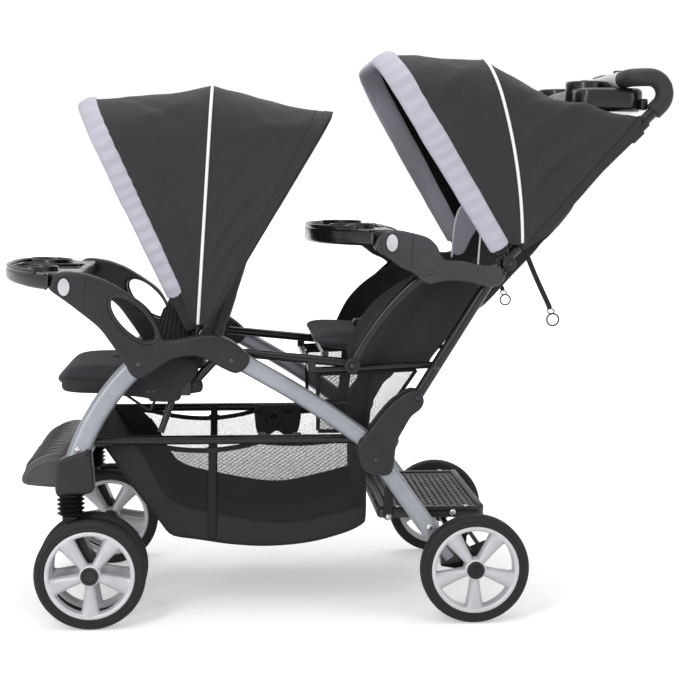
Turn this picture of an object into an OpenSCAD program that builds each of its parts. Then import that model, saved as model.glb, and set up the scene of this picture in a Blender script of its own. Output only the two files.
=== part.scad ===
// Tandem stroller: two seats in line, folding canopies, swivel front wheels and a basket.
// Millimetres. +Z is up, the front faces -X, the left side faces -Y and the floor is Z = 0.

/* [Wheels] */
// Diameter over every tyre
wheel_d = 192; // [184:1:196]
// Diameter of the rims inside the tyres
rim_d = 152; // [140:1:160]
// Width of each rear tyre
rear_tyre_w = 30; // [26:1:32]
// Width of each front tyre
front_tyre_w = 24; // [20:1:26]
// Rounding of the tyre shoulders
tyre_round = 8; // [4:0.5:9]
// Thickness of the rim ring
rim_wall = 9; // [6:0.5:12]
// Diameter of the wheel hubs
hub_d = 38; // [36:1:42]
// Diameter of the black hub caps
cap_d = 31; // [26:1:36]
// Height of the hub caps over the hubs
cap_h = 3; // [2:0.5:5]
// Diameter of the axles
axle_d = 12; // [10:0.5:13]
// Number of spokes in each wheel
spoke_count = 5; // [4:1:6]
// Width of a spoke at the hub
spoke_hub_w = 15; // [11:1:16]
// Width of a spoke at the rim
spoke_rim_w = 37; // [26:1:42]

/* [Layout] */
// Distance between the front and rear axles
wheelbase = 669; // [655:1:680]
// Rear axle behind the middle of the stroller
rear_axle_x = 239; // [234:1:244]
// Swivel axis ahead of the front axle
caster_trail = 34; // [30:1:37]
// Middle of the frame tubes from the centre plane
frame_y = 215; // [214:0.5:216]
// Middle of the rear wheels from the centre plane
rear_wheel_y = 245; // [245:0.5:250]

/* [Frame tubes] */
// Height of the flattened front legs, seen from the side
front_leg_h = 37; // [34:0.5:39]
// Height of the flattened rear tubes, seen from the side
rear_tube_h = 32; // [29:0.5:34]
// Thickness of the flattened tubes across the stroller
flat_tube_w = 22; // [20:0.5:22]
// Diameter of the push bar tube
push_bar_d = 20; // [18:0.5:20]
// Diameter of the armrest uprights
upright_d = 18; // [16:0.5:18]
// Diameter of the seat rails and lower rails
rail_d = 16; // [14:0.5:16]
// Diameter of the pivot pins
pin_d = 8; // [7:0.5:9]

/* [Side plates] */
// Length of a side plate with its tray arm
plate_l = 337; // [330:1:344]
// Height of a side plate with its tray arm
plate_h = 184; // [180:1:188]
// Thickness of a side plate
plate_t = 34; // [33:0.5:35]
// Length of the oval grip hole in a tray arm
plate_hole_l = 104; // [84:1:106]
// Width of the oval grip hole in a tray arm
plate_hole_w = 47; // [40:1:54]

/* [Trays and armrests] */
// Height of the child trays
tray_h = 27; // [24:0.5:30]
// Reach of the front tray ahead of its arms
front_tray_reach = 86; // [80:0.5:90]
// Reach of the rear tray ahead of its armrests
rear_tray_reach = 104; // [94:1:108]
// Diameter of the cup pockets in the child trays
tray_cup_d = 72; // [60:1:76]
// Depth of the cup pockets in the child trays
tray_cup_depth = 22; // [16:0.5:23]
// Length of an armrest
armrest_l = 233; // [228:1:236]
// Height of an armrest
armrest_h = 97; // [94:1:100]
// Thickness of an armrest
armrest_t = 22; // [21:0.5:23]
// Height of the oval tray buttons
button_h = 30; // [24:0.5:32]
// Width of the oval tray buttons
button_w = 20; // [16:0.5:22]

/* [Handle] */
// Diameter of the foam grips
grip_d = 31; // [28:0.5:32]
// Radius of the handle corners
handle_bend = 28; // [24:0.5:30]
// Length of the grey middle cover of the handle
handle_cover_l = 300; // [270:1:310]
// Width of the parent tray
parent_tray_w = 370; // [350:1:378]
// Height of the parent tray body
parent_tray_h = 34; // [28:1:34]
// Inside diameter of the parent cup holders
parent_cup_d = 68; // [60:1:70]

/* [Canopies] */
// Diameter of the canopy bows
bow_d = 7; // [6:0.5:7]
// Radius of the top corners of the bows
bow_corner = 85; // [70:1:95]
// Thickness of the canopy cloth
cloth_t = 1.8; // [1.4:0.1:1.8]
// Width of the padded band on each front bow
band_w = 36; // [28:1:38]
// Thickness of the padded band
band_t = 11; // [10:0.5:12]
// Drop of the cloth between two bows
cloth_sag = 8; // [0:0.5:14]

/* [Seats and basket] */
// Width of the seat cushions
cushion_w = 292; // [270:1:300]
// Width of the backrests
backrest_w = 286; // [260:1:296]
// Thickness of the cushions at their edges
cushion_edge = 14; // [10:0.5:16]
// Rise of the backrests towards their middle
cushion_crown = 16; // [8:0.5:20]
// Thickness of the basket walls
basket_wall = 4; // [3:0.5:6]

/* [Clearances] */
// Radial play of pins and axles in their bores
pin_play = 0.05; // [0.02:0.01:0.09]
// Gap between pieces that lie next to each other
part_gap = 0.3; // [0.2:0.05:0.5]
// Gap around pieces that swing or roll past each other
swing_gap = 1; // [0.8:0.1:1.2]

/* [Hidden] */
$fn = 48;
// Cuts run past the faces they open by this much
overrun = 2;
percent = 100;
// Seams between straight and bent stretches of a tube: gap, collar length and collar swell
seam_gap = 0.1;
seam_l = 1;
seam_lap = 0.2;
round_faces = 32;

// Axle places, which carry everything else
axle_z = wheel_d / 2;
front_axle_x = rear_axle_x - wheelbase;
caster_x = front_axle_x - caster_trail;
front_axle = [front_axle_x, axle_z];
rear_axle = [rear_axle_x, axle_z];

// Wheel layers of a caster, from its middle plane
fork_t = 36;
front_wheel_in = fork_t / 2 + swing_gap;
front_wheel_mid = front_wheel_in + front_tyre_w / 2;

// Frame points in the side view, measured from the front axle
leg_foot_offset = [-32, 174];
leg_foot = front_axle + leg_foot_offset;
leg_elbow_offset = [15, 297];
leg_elbow = front_axle + leg_elbow_offset;
leg_head_offset = [86, 363];
leg_head = front_axle + leg_head_offset;
plate_corner_offset = [-62, 336.5];
plate_corner = front_axle + plate_corner_offset;
rear_tube_head_offset = [236, 379];
rear_tube_head = front_axle + rear_tube_head_offset;
front_canopy_hub_offset = [184, 396];
front_canopy_hub = front_axle + front_canopy_hub_offset;
seat_tube_head_offset = [226, 374];
seat_tube_head = front_axle + seat_tube_head_offset;
seat_tube_elbow_offset = [169, 312];
seat_tube_elbow = front_axle + seat_tube_elbow_offset;
seat_tube_nose_offset = [-45, 316];
seat_tube_nose = front_axle + seat_tube_nose_offset;
strut_corner_offset = [-57, 138];
strut_corner = front_axle + strut_corner_offset;
footrest_corner_offset = [-121, 140];
footrest_corner = front_axle + footrest_corner_offset;
lower_rail_head_offset = [-25, 222];
lower_rail_head = front_axle + lower_rail_head_offset;

// Frame points in the side view, measured from the rear axle
rear_tube_elbow_offset = [-293, 299];
rear_tube_elbow = rear_axle + rear_tube_elbow_offset;
rear_tube_foot_offset = [-178, 216];
rear_tube_foot = rear_axle + rear_tube_foot_offset;
rear_leg_head_offset = [-162, 183];
rear_leg_head = rear_axle + rear_leg_head_offset;
rear_leg_foot_offset = [-40, 13];
rear_leg_foot = rear_axle + rear_leg_foot_offset;
housing_corner_offset = [-206, 164];
housing_corner = rear_axle + housing_corner_offset;
lower_rail_foot_offset = [-186, 222];
lower_rail_foot = rear_axle + lower_rail_foot_offset;
bar_foot_offset = [-106, 293];
bar_foot = rear_axle + bar_foot_offset;
bar_elbow_offset = [43, 534];
bar_elbow = rear_axle + bar_elbow_offset;
seat_pivot_offset = [-69, 352.8];
seat_pivot = rear_axle + seat_pivot_offset;
knob_pivot_offset = [-216, 357];
knob_pivot = rear_axle + knob_pivot_offset;
upright_elbow_offset = [-162, 458];
upright_elbow = rear_axle + upright_elbow_offset;
upright_head_offset = [-84, 519];
upright_head = rear_axle + upright_head_offset;
canopy_hub_offset = [52, 536];
canopy_hub = rear_axle + canopy_hub_offset;
handle_rise = 857;
handle_z = axle_z + handle_rise;
cross_bar_run = 270;
cross_bar_x = rear_axle_x + cross_bar_run;

// Layers across the stroller, from the centre plane
plate_in = frame_y - plate_t / 2 + swing_gap;
plate_out = plate_in + plate_t;
housing_t = 42;
housing_in = frame_y - housing_t / 2 + swing_gap;
housing_out = housing_in + housing_t;
rail_y = plate_in - rail_d;
push_y = frame_y - flat_tube_w / 2 + push_bar_d / 2 - swing_gap;
push_out = push_y + push_bar_d / 2;
armrest_in = push_out + swing_gap;
armrest_out = armrest_in + armrest_t;

// Vector and outline helpers
function unit(v) = v / norm(v);
function lift(p, y) = [p[0], y, p[1]];
function mix(a, b, t) = a * (1 - t) + b * t;
function heading(points, i) = unit(points[i + 1] - points[i]);
function bend_angle(points, i) =
    acos(min(1, max(-1, heading(points, i - 1) * heading(points, i))));
function setback(points, bends, i) =
    i == 0 || i == len(points) - 1 ? 0 : bends[i - 1] * tan(bend_angle(points, i) / 2);
function side_of(d, normal) =
    norm(cross(normal, d)) == 0 ? [1, 0, 0] : unit(cross(normal, d));
function frame_matrix(x, y, z, o) = [
    [x[0], y[0], z[0], o[0]],
    [x[1], y[1], z[1], o[1]],
    [x[2], y[2], z[2], o[2]],
    [0, 0, 0, 1]
];
// Shares in percent of a length and a height, turned into points
function from_shares(shares, l, h, corner) =
    [for (s = shares) corner + [s[0] * l, s[1] * h] / percent];
// Closed smooth curve through points
function smooth(points, steps) = [
    for (i = [0:len(points) - 1])
        let (
            n = len(points),
            a = points[(i + n - 1) % n],
            b = points[i],
            c = points[(i + 1) % n],
            d = points[(i + 2) % n]
        )
        for (k = [0:steps - 1])
            let (t = k / steps)
            (2 * b + (c - a) * t + (2 * a - 5 * b + 4 * c - d) * t * t
                + (3 * b - a - 3 * c + d) * t * t * t) / 2
];
function oval(l, w, tilt, centre) = [
    for (i = [0:round_faces - 1])
        let (t = 360 * i / round_faces, p = [l / 2 * cos(t), w / 2 * sin(t)])
        centre + [p[0] * cos(tilt) - p[1] * sin(tilt), p[0] * sin(tilt) + p[1] * cos(tilt)]
];

// Left side as drawn, or the right side as its mirror image
module on_side(side) {
    if (side == "left") children();
    else mirror([0, 1, 0]) children();
}
module both_sides() {
    children();
    mirror([0, 1, 0]) children();
}
// A side-view outline with thickness between two layers on the left side
module slab(outline, y_in, y_out) {
    translate([0, -y_in, 0]) rotate([90, 0, 0]) linear_extrude(y_out - y_in) polygon(outline);
}
// A rod across the left side between two layers
module rod(at, d, y_in, y_out) {
    translate([at[0], -y_in, at[1]]) rotate([90, 0, 0]) cylinder(d = d, h = y_out - y_in);
}
// A rod from one side of the stroller to the other
module cross_rod(at, d, y_out) {
    translate([at[0], y_out, at[1]]) rotate([90, 0, 0]) cylinder(d = d, h = y_out * 2);
}
// Tube section: height in the side view and width across, round where both are alike
module flat_section(h, w) {
    if (h == w) circle(d = w);
    else if (h < w) rotate(90) flat_section(w, h);
    else {
        square([h - w, w], center = true);
        for (end = [-1, 1]) translate([end * (h - w) / 2, 0]) circle(d = w);
    }
}
// A tube along straight stretches with round bends, and a thin collar over each seam
module run(points, bends, h, w, normal = [0, 1, 0]) {
    last = len(points) - 1;
    for (i = [0:last - 1]) {
        d = heading(points, i);
        n = side_of(d, normal);
        from = points[i] + d * (setback(points, bends, i) + (i == 0 ? 0 : seam_gap));
        to = points[i + 1] - d * (setback(points, bends, i + 1) + (i == last - 1 ? 0 : seam_gap));
        multmatrix(frame_matrix(n, cross(d, n), d, from))
            linear_extrude(norm(to - from)) flat_section(h, w);
        if (i > 0) multmatrix(frame_matrix(n, cross(d, n), d, from))
            linear_extrude(seam_l, center = true) flat_section(h + seam_lap, w + seam_lap);
        if (i < last - 1) multmatrix(frame_matrix(n, cross(d, n), d, to))
            linear_extrude(seam_l, center = true) flat_section(h + seam_lap, w + seam_lap);
    }
    if (last > 1) for (i = [1:last - 1]) {
        d = heading(points, i - 1);
        e = heading(points, i);
        n = unit(e - d * (d * e));
        r = bends[i - 1];
        c = points[i] - d * setback(points, bends, i) + n * r;
        multmatrix(frame_matrix(-n, d, cross(-n, d), c))
            rotate_extrude(angle = bend_angle(points, i)) translate([r, 0]) bend_section(h, w, n, normal);
    }
}
// The section turned to match a bend, in the side view or across it
module bend_section(h, w, n, normal) {
    if (abs(n * unit(normal)) > 1 / 2) flat_section(w, h);
    else flat_section(h, w);
}

// A closed solid between two grids of points, upper and lower, with its rim closed
module grid_solid(upper, lower) {
    rows = len(upper);
    cols = len(upper[0]);
    count = rows * cols;
    points = concat([for (row = upper) for (p = row) p], [for (row = lower) for (p = row) p]);
    function at(layer, r, c) = layer * count + r * cols + c;
    function quad(a, b, c, d) = [[a, b, c], [a, c, d]];
    sheets = [
        for (r = [0:rows - 2]) for (c = [0:cols - 2])
            for (f = concat(
                quad(at(0, r, c), at(0, r, c + 1), at(0, r + 1, c + 1), at(0, r + 1, c)),
                quad(at(1, r + 1, c), at(1, r + 1, c + 1), at(1, r, c + 1), at(1, r, c))
            )) f
    ];
    row_rims = [
        for (c = [0:cols - 2])
            for (f = concat(
                quad(at(1, 0, c), at(1, 0, c + 1), at(0, 0, c + 1), at(0, 0, c)),
                quad(at(0, rows - 1, c), at(0, rows - 1, c + 1),
                    at(1, rows - 1, c + 1), at(1, rows - 1, c))
            )) f
    ];
    col_rims = [
        for (r = [0:rows - 2])
            for (f = concat(
                quad(at(0, r, 0), at(0, r + 1, 0), at(1, r + 1, 0), at(1, r, 0)),
                quad(at(1, r, cols - 1), at(1, r + 1, cols - 1),
                    at(0, r + 1, cols - 1), at(0, r, cols - 1))
            )) f
    ];
    polyhedron(points, concat(sheets, row_rims, col_rims));
}

// Wheels, drawn round their own middle plane with the axle along Y
module tyre(w) {
    r = wheel_d / 2;
    inner = rim_d / 2;
    corner = [for (i = [0:4]) let (t = 90 * i / 4) [r - tyre_round * (1 - cos(t)), sin(t)]];
    upper = [for (p = corner) [p[0], w / 2 - tyre_round * (1 - p[1])]];
    lower = [for (i = [4:-1:0]) [upper[i][0], -upper[i][1]]];
    rotate([90, 0, 0]) rotate_extrude() polygon(concat(
        [[inner, -w / 2]], lower, upper, [[inner, w / 2]]
    ));
}
module rim(w) {
    r = rim_d / 2;
    rotate([90, 0, 0]) difference() {
        union() {
            linear_extrude(w, center = true) difference() {
                circle(r);
                circle(r - rim_wall);
            }
            cylinder(d = hub_d, h = w, center = true);
            for (i = [0:spoke_count - 1]) rotate(360 * i / spoke_count - 90)
                linear_extrude(w / 2, center = true) polygon([
                    [0, -spoke_hub_w / 2], [r - rim_wall / 2, -spoke_rim_w / 2],
                    [r - rim_wall / 2, spoke_rim_w / 2], [0, spoke_hub_w / 2]
                ]);
        }
        cylinder(d = axle_d + 2 * pin_play, h = w + overrun, center = true);
    }
}
module at_front_wheels() {
    for (side = [-1, 1]) translate([front_axle_x, -frame_y + side * front_wheel_mid, axle_z])
        children();
}
module at_rear_wheel() {
    translate([rear_axle_x, -rear_wheel_y, axle_z]) children();
}
module front_tyres(side) {
    color("#26262a") on_side(side) at_front_wheels() tyre(front_tyre_w);
}
module front_rims(side) {
    color("#b9bcc2") on_side(side) at_front_wheels() rim(front_tyre_w);
}
// Front axle with its two push-on caps
module front_axle_pin(side) {
    half = front_wheel_mid + front_tyre_w / 2;
    color("#1a1a1c") on_side(side) {
        rod(front_axle, axle_d, frame_y - half, frame_y + half);
        rod(front_axle, cap_d, frame_y + half, frame_y + half + cap_h);
        rod(front_axle, cap_d, frame_y - half - cap_h, frame_y - half);
    }
}
module rear_tyre(side) {
    color("#26262a") on_side(side) at_rear_wheel() tyre(rear_tyre_w);
}
// Rear rim with its hub cap, which hides the axle's end
module rear_rim(side) {
    face = rear_wheel_y + rear_tyre_w / 2;
    color("#b9bcc2") on_side(side) {
        at_rear_wheel() rim(rear_tyre_w);
        rod(rear_axle, cap_d, face, face + cap_h);
    }
}

// Caster: stem, web between the two wheels and axle boss
boot_z = wheel_d + swing_gap * 2;
boot_d = 48;
boot_waist_d = 35;
boot_ribs = 5;
stem_d = 18;
stem_lap = 18;
stem_top = strut_corner[1] + stem_lap;
boss_d = 28;
module caster_fork(side) {
    color("#1f1f22") on_side(side) difference() {
        union() {
            translate([caster_x, -frame_y, boot_z]) cylinder(d = stem_d, h = stem_top - boot_z);
            rod(front_axle, boss_d, frame_y - fork_t / 2, frame_y + fork_t / 2);
            slab([
                [caster_x - stem_d / 2, boot_z], [caster_x + stem_d / 2, boot_z],
                front_axle + [boss_d / 2, 0], front_axle - [boss_d / 2, 0]
            ], frame_y - fork_t / 2, frame_y + fork_t / 2);
        }
        rod(front_axle, axle_d + 2 * pin_play, frame_y - fork_t, frame_y + fork_t);
    }
}
// Ribbed rubber boot over the front suspension
module caster_boot(side) {
    top = strut_corner[1] - part_gap;
    step = (top - boot_z) / boot_ribs;
    ribs = [
        for (i = [0:boot_ribs - 1]) for (p = [
            [boot_waist_d / 2, boot_z + i * step], [boot_d / 2, boot_z + (i + 1 / 2) * step]
        ]) p
    ];
    bore = stem_d / 2 + part_gap;
    color("#151517") on_side(side) translate([caster_x, -frame_y, 0]) rotate_extrude()
        polygon(concat(ribs, [[boot_waist_d / 2, top], [bore, top], [bore, boot_z]]));
}

// Strut housing: plastic block between the leg and the caster's stem
strut_l = 64;
strut_h = 76;
strut_t = 40;
strut_shares = [[0, 0], [81, 0], [100, 11], [92, 100], [11, 78], [0, 58]];
module front_leg_shape(h, w) {
    run([lift(leg_foot, -frame_y), lift(leg_elbow, -frame_y), lift(leg_head, -frame_y)],
        [front_leg_bend], h, w);
}
front_leg_bend = 380;
module strut_housings() {
    color("#2c2c2f") both_sides() difference() {
        slab(from_shares(strut_shares, strut_l, strut_h, strut_corner),
            frame_y - strut_t / 2, frame_y + strut_t / 2);
        front_leg_shape(front_leg_h + 2 * part_gap, flat_tube_w + 2 * part_gap);
        translate([caster_x, -frame_y, strut_corner[1] - overrun])
            cylinder(d = stem_d + 2 * pin_play, h = stem_top - strut_corner[1] + part_gap + overrun);
    }
}
module front_legs() {
    color("#a9abb6") both_sides() front_leg_shape(front_leg_h, flat_tube_w);
}

// Rear tubes from the side plates to the hinge housings, and rear legs below them
rear_tube_bend = 1200;
module rear_tube_shape(h, w) {
    run([lift(rear_tube_head, -frame_y), lift(rear_tube_elbow, -frame_y),
        lift(rear_tube_foot, -frame_y)], [rear_tube_bend], h, w);
}
module rear_leg_shape(h, w) {
    run([lift(rear_leg_head, -frame_y), lift(rear_leg_foot, -frame_y)], [], h, w);
}
module rear_tubes() {
    color("#a9abb6") both_sides() rear_tube_shape(rear_tube_h, flat_tube_w);
}
module rear_legs() {
    color("#a9abb6") both_sides() rear_leg_shape(rear_tube_h, flat_tube_w);
}

// Side plate: arched hub on top of the frame with the arm of the front tray
plate_shares = [
    [0, 88], [2, 96], [7, 100], [17, 98], [24, 94], [31, 88], [42, 75], [49, 64], [54, 48],
    [56, 38], [60, 36], [73, 40], [81, 41], [89, 37], [96, 28], [100, 19], [98, 10], [93, 5],
    [86, 10], [78, 18], [70, 21], [60, 17], [50, 5], [45, 0], [40, 4], [36, 17], [29, 36],
    [24, 48], [17, 59], [8, 72], [0, 83]
];
plate_hole_shares = [41.4, 55.9];
plate_hole_tilt = -45;
// Least wall left round the grip hole
plate_rim = 2;
button_shares = [7, 86];
button_depth = 8;
button_proud = 1.5;
button_travel_gap = 4;
function button_at(corner, l, h) = from_shares([button_shares], l, h, corner)[0];
module button_pocket(at, y_out) {
    slab(oval(button_h + 2 * part_gap, button_w + 2 * part_gap, 90, at),
        y_out - button_depth - button_travel_gap, y_out + overrun);
}
module button(at, y_out) {
    slab(oval(button_h, button_w, 90, at), y_out - button_depth, y_out + button_proud);
}
module side_plate(side) {
    at = button_at(plate_corner, plate_l, plate_h);
    hole_at = from_shares([plate_hole_shares], plate_l, plate_h, plate_corner)[0];
    stud_end = bow_layer(2) - bow_d;
    color("#2f2f32") on_side(side) {
        difference() {
            union() {
                slab(smooth(from_shares(plate_shares, plate_l, plate_h, plate_corner), 3),
                    plate_in, plate_out);
                slab(oval(plate_hole_l + 2 * plate_rim, plate_hole_w + 2 * plate_rim,
                    plate_hole_tilt, hole_at), plate_in, plate_out);
            }
            slab(oval(plate_hole_l, plate_hole_w, plate_hole_tilt, hole_at),
                plate_in - overrun, plate_out + overrun);
            front_leg_shape(front_leg_h + 2 * part_gap, flat_tube_w + 2 * part_gap);
            rear_tube_shape(rear_tube_h + 2 * part_gap, flat_tube_w + 2 * part_gap);
            button_pocket(at, plate_out);
        }
        rod(front_canopy_hub, pin_d, stud_end, plate_in + part_gap);
    }
}
module front_tray_button(side) {
    color("#c3c4c8") on_side(side) button(button_at(plate_corner, plate_l, plate_h), plate_out);
}

// Hinge housing: joins rear tube and rear leg, with a fork for the foot of the push bar
housing_l = 115;
housing_h = 151;
housing_shares = [
    [60, 91], [72, 97], [84, 100], [95, 97], [100, 87], [95, 78], [81, 69], [70, 55], [61, 42],
    [57, 28], [55, 12], [50, 3], [40, 0], [27, 2], [14, 4], [5, 12], [1, 24], [0, 35], [8, 45],
    [18, 55], [34, 71], [49, 84]
];
fork_floor_share = 52;
module hinge_housings() {
    floor_z = housing_corner[1] + housing_h * fork_floor_share / percent;
    color("#2f2f32") both_sides() difference() {
        slab(smooth(from_shares(housing_shares, housing_l, housing_h, housing_corner), 3),
            housing_in, housing_out);
        rear_tube_shape(rear_tube_h + 2 * part_gap, flat_tube_w + 2 * part_gap);
        rear_leg_shape(rear_tube_h + 2 * part_gap, flat_tube_w + 2 * part_gap);
        translate([housing_corner[0] - overrun, -push_out - swing_gap, floor_z])
            cube([housing_l + 2 * overrun, push_bar_d + 2 * swing_gap, housing_h]);
    }
}

// Lower rails, held to the legs and housings by short bosses
rail_boss_d = 14;
rail_rear_boss_share = 4;
module lower_rails() {
    a = lift(lower_rail_head, -rail_y);
    b = lift(lower_rail_foot, -rail_y);
    color("#18181a") both_sides() {
        run([a, b], [], rail_d, rail_d);
        rod(lower_rail_head, rail_boss_d, rail_y, frame_y - flat_tube_w / 2);
        rod(lower_rail_foot - [rail_d / rail_rear_boss_share, 0], rail_boss_d, rail_y, housing_in);
    }
}

// Seat rails: upper rail to the knob, lower bar to the push bar's pivot, and cross tubes
rail_cross_d = 12;
rail_tee_share = 68;
rail_tee_drop = 20;
rail_tee_w = 14;
// The upper rails start inside the rear ends of the side plates
rail_lap = 35;
rail_rise = 4;
upper_rail_head = [plate_corner[0] + plate_l - rail_lap, seat_tube_head[1] + rail_rise];
cross_tube_share = 80;
rail_tee = mix(upper_rail_head, knob_pivot, rail_tee_share / percent);
rail_bar_head = rail_tee - [0, rail_tee_drop];
seat_front_tube_offset = [24, 9];
seat_front_tube = rail_tee + seat_front_tube_offset;
seat_rear_tube = mix(rail_bar_head, seat_pivot, cross_tube_share / percent);
module seat_rails() {
    color("#18181a") {
        both_sides() {
            run([lift(upper_rail_head, -rail_y), lift(knob_pivot, -rail_y)], [], rail_d, rail_d);
            run([lift(rail_bar_head, -rail_y), lift(seat_pivot, -rail_y)], [],
                rail_cross_d, rail_cross_d);
            translate([rail_tee[0] - rail_tee_w / 2, -rail_y - rail_tee_w / 2, rail_bar_head[1]])
                cube([rail_tee_w, rail_tee_w, rail_tee_drop]);
            rod(upper_rail_head + [rail_d / 2, 0], rail_boss_d, rail_y, plate_in);
            rod(knob_pivot, pin_d, rail_y, push_out - swing_gap + part_gap);
            rod(seat_pivot, pin_d, rail_y, push_out + part_gap);
        }
        for (at = [rail_bar_head, seat_front_tube, seat_rear_tube])
            cross_rod(at, rail_cross_d, rail_y);
    }
}

// Rivet heads and knobs on the frame
rivet_d = 10;
rivet_h = 2.5;
knob_d = 28;
knob_h = 7;
plate_rivet_shares = [[44, 14], [91, 17]];
housing_rivet_shares = [[28, 19], [90, 91]];
rear_leg_rivet_share = 68;
module frame_rivets() {
    color("#3a3a3d") both_sides() {
        for (p = from_shares(plate_rivet_shares, plate_l, plate_h, plate_corner))
            rod(p, rivet_d, plate_out, plate_out + rivet_h);
        for (p = from_shares(housing_rivet_shares, housing_l, housing_h, housing_corner))
            rod(p, rivet_d, housing_out, housing_out + rivet_h);
        rod(mix(rear_leg_head, rear_leg_foot, rear_leg_rivet_share / percent), rivet_d,
            frame_y + flat_tube_w / 2, frame_y + flat_tube_w / 2 + rivet_h);
        rod(knob_pivot, knob_d, push_out - swing_gap + part_gap, push_out - swing_gap + part_gap + knob_h);
        rod(seat_pivot, rivet_d, push_out + part_gap, push_out + part_gap + rivet_h);
    }
}

// Footrest between the strut housings
footrest_l = 92;
footrest_h = 58;
footrest_shares = [
    [0, 24], [2, 42], [12, 66], [34, 90], [58, 100], [80, 96], [100, 80], [100, 0], [62, 2], [20, 8], [5, 14]
];
module footrest() {
    y_out = frame_y - strut_t / 2 - part_gap;
    color("#57534f") both_sides()
        slab(smooth(from_shares(footrest_shares, footrest_l, footrest_h, footrest_corner), 3), 0, y_out);
}

// Rear axle, its end brackets, the platform's cross tube and struts, all welded together
bracket_t = 20;
bracket_rise = 44;
strut_y = 120;
strut_w = 12;
platform_l = 194;
platform_w = 330;
platform_t = 18;
platform_rise = 72;
platform_z = axle_z + platform_rise;
platform_overhang = 31;
platform_rear = rear_axle_x + platform_overhang;
platform_tube_share = 70.3;
module rear_axle_frame() {
    bar = mix(rear_leg_head, rear_leg_foot, platform_tube_share / percent);
    color("#1c1c1e") {
        both_sides() {
            difference() {
                slab([
                    rear_leg_foot + [-rear_tube_h / 2, bracket_rise],
                    rear_leg_foot + [rear_tube_h / 2, bracket_rise],
                    rear_axle + [boss_d / 2, boss_d / 4], rear_axle + [boss_d / 2, -boss_d / 2],
                    rear_leg_foot + [-rear_tube_h / 2, -boss_d / 2]
                ], frame_y - bracket_t / 2, frame_y + bracket_t / 2);
                rear_leg_shape(rear_tube_h + 2 * part_gap, flat_tube_w + 2 * part_gap);
            }
            translate([rear_axle_x - strut_w / 2, -strut_y - strut_w / 2, axle_z])
                cube([strut_w, strut_w, platform_z - axle_z]);
        }
        cross_rod(rear_axle, axle_d, rear_wheel_y + rear_tyre_w / 2);
        cross_rod([bar[0], platform_z - rail_d / 2], rail_d, frame_y - flat_tube_w / 2);
    }
}
// Standing platform with raised treads
tread_count = 9;
tread_h = 2;
tread_share = 40;
module standing_platform() {
    pitch = platform_l / (tread_count + 1);
    color("#3d3b3a") translate([platform_rear - platform_l, -platform_w / 2, platform_z]) {
        cube([platform_l, platform_w, platform_t]);
        for (i = [0:tread_count - 1]) translate([pitch * (i + 1 / 2), pitch, platform_t])
            cube([pitch * tread_share / percent, platform_w - 2 * pitch, tread_h]);
    }
}
// Brake pedals on the rear axle, joined by a link rod
brake_y = 150;
brake_w = 40;
brake_sleeve_d = 24;
brake_reach = 46;
brake_drop = 20;
brake_link_d = 8;
brake_link_share = 60;
module brake_pedals() {
    pedal = rear_axle + [brake_reach, brake_drop];
    root = brake_sleeve_d / 2 - swing_gap;
    color("#222224") {
        both_sides() difference() {
            union() {
                rod(rear_axle, brake_sleeve_d, brake_y, brake_y + brake_w);
                slab([
                    rear_axle + [0, root], pedal + [-root, root / 2], pedal + [0, root / 2],
                    pedal + [0, -root / 2], rear_axle + [root, -root / 2]
                ], brake_y, brake_y + brake_w);
            }
            rod(rear_axle, axle_d + 2 * pin_play, brake_y - overrun, brake_y + brake_w + overrun);
        }
        cross_rod(mix(rear_axle, pedal, brake_link_share / percent), brake_link_d, brake_y + brake_w / 2);
    }
}

// Basket hung between the lower rails: a sling with sagging bottom, open at the top
basket_l = 472;
basket_h = 196;
basket_lead = 34;
basket_shares = [
    [0, 100], [3, 92], [14, 53], [23, 24], [26, 14], [29, 10], [37, 7], [50, 2], [64, 0], [79, 3],
    [92, 11], [99, 19], [100, 26], [100, 60], [99, 100]
];
module basket() {
    corner = [lower_rail_head[0] + basket_lead, lower_rail_head[1] + rail_d / 8 - basket_h];
    outer = from_shares(basket_shares, basket_l, basket_h, corner);
    inner_l = basket_l - 2 * basket_wall;
    inner = from_shares(basket_shares, inner_l, basket_h, corner + [basket_wall, basket_wall]);
    half = rail_y - rail_d / 2 - part_gap;
    color("#1d1d1f") difference() {
        union() both_sides() slab(outer, 0, half);
        union() both_sides() slab(inner, 0, half - basket_wall);
    }
}

// Tube frame under the front seat with its struts, brackets and hinge rod
seat_tube_y = 165;
seat_tube_d = 16;
seat_tube_bend = 30;
strut_tube_d = 12;
seat_bracket_l = 50;
seat_bracket_h = 24;
seat_strut_shares = [10, 23];
hinge_rod_d = 10;
hinge_rod_share = 45;
front_hinge = mix(seat_tube_elbow, seat_tube_head, hinge_rod_share / percent);
module front_seat_frame() {
    top = mix(seat_tube_elbow, seat_tube_nose, seat_strut_shares[0] / percent);
    foot = [mix(seat_tube_elbow, seat_tube_nose, seat_strut_shares[1] / percent)[0],
        lower_rail_head[1] + (rail_d + strut_tube_d) / 2];
    color("#18181a") {
        run([
            lift(seat_tube_head, -seat_tube_y), lift(seat_tube_elbow, -seat_tube_y),
            lift(seat_tube_nose, -seat_tube_y), lift(seat_tube_nose, seat_tube_y),
            lift(seat_tube_elbow, seat_tube_y), lift(seat_tube_head, seat_tube_y)
        ], [for (i = [0:3]) seat_tube_bend], seat_tube_d, seat_tube_d);
        both_sides() {
            run([lift(top, -seat_tube_y), lift(foot, -rail_y)], [], strut_tube_d, strut_tube_d);
            rod(seat_tube_head - [strut_tube_d / 2, strut_tube_d / 2], strut_tube_d,
                seat_tube_y, plate_in);
            translate([top[0] - seat_bracket_l / 2, -seat_tube_y - seat_tube_d, top[1] - seat_bracket_h / 2])
                cube([seat_bracket_l, seat_tube_d * 2, seat_bracket_h]);
        }
        cross_rod(front_hinge, hinge_rod_d, seat_tube_y);
    }
}

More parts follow.
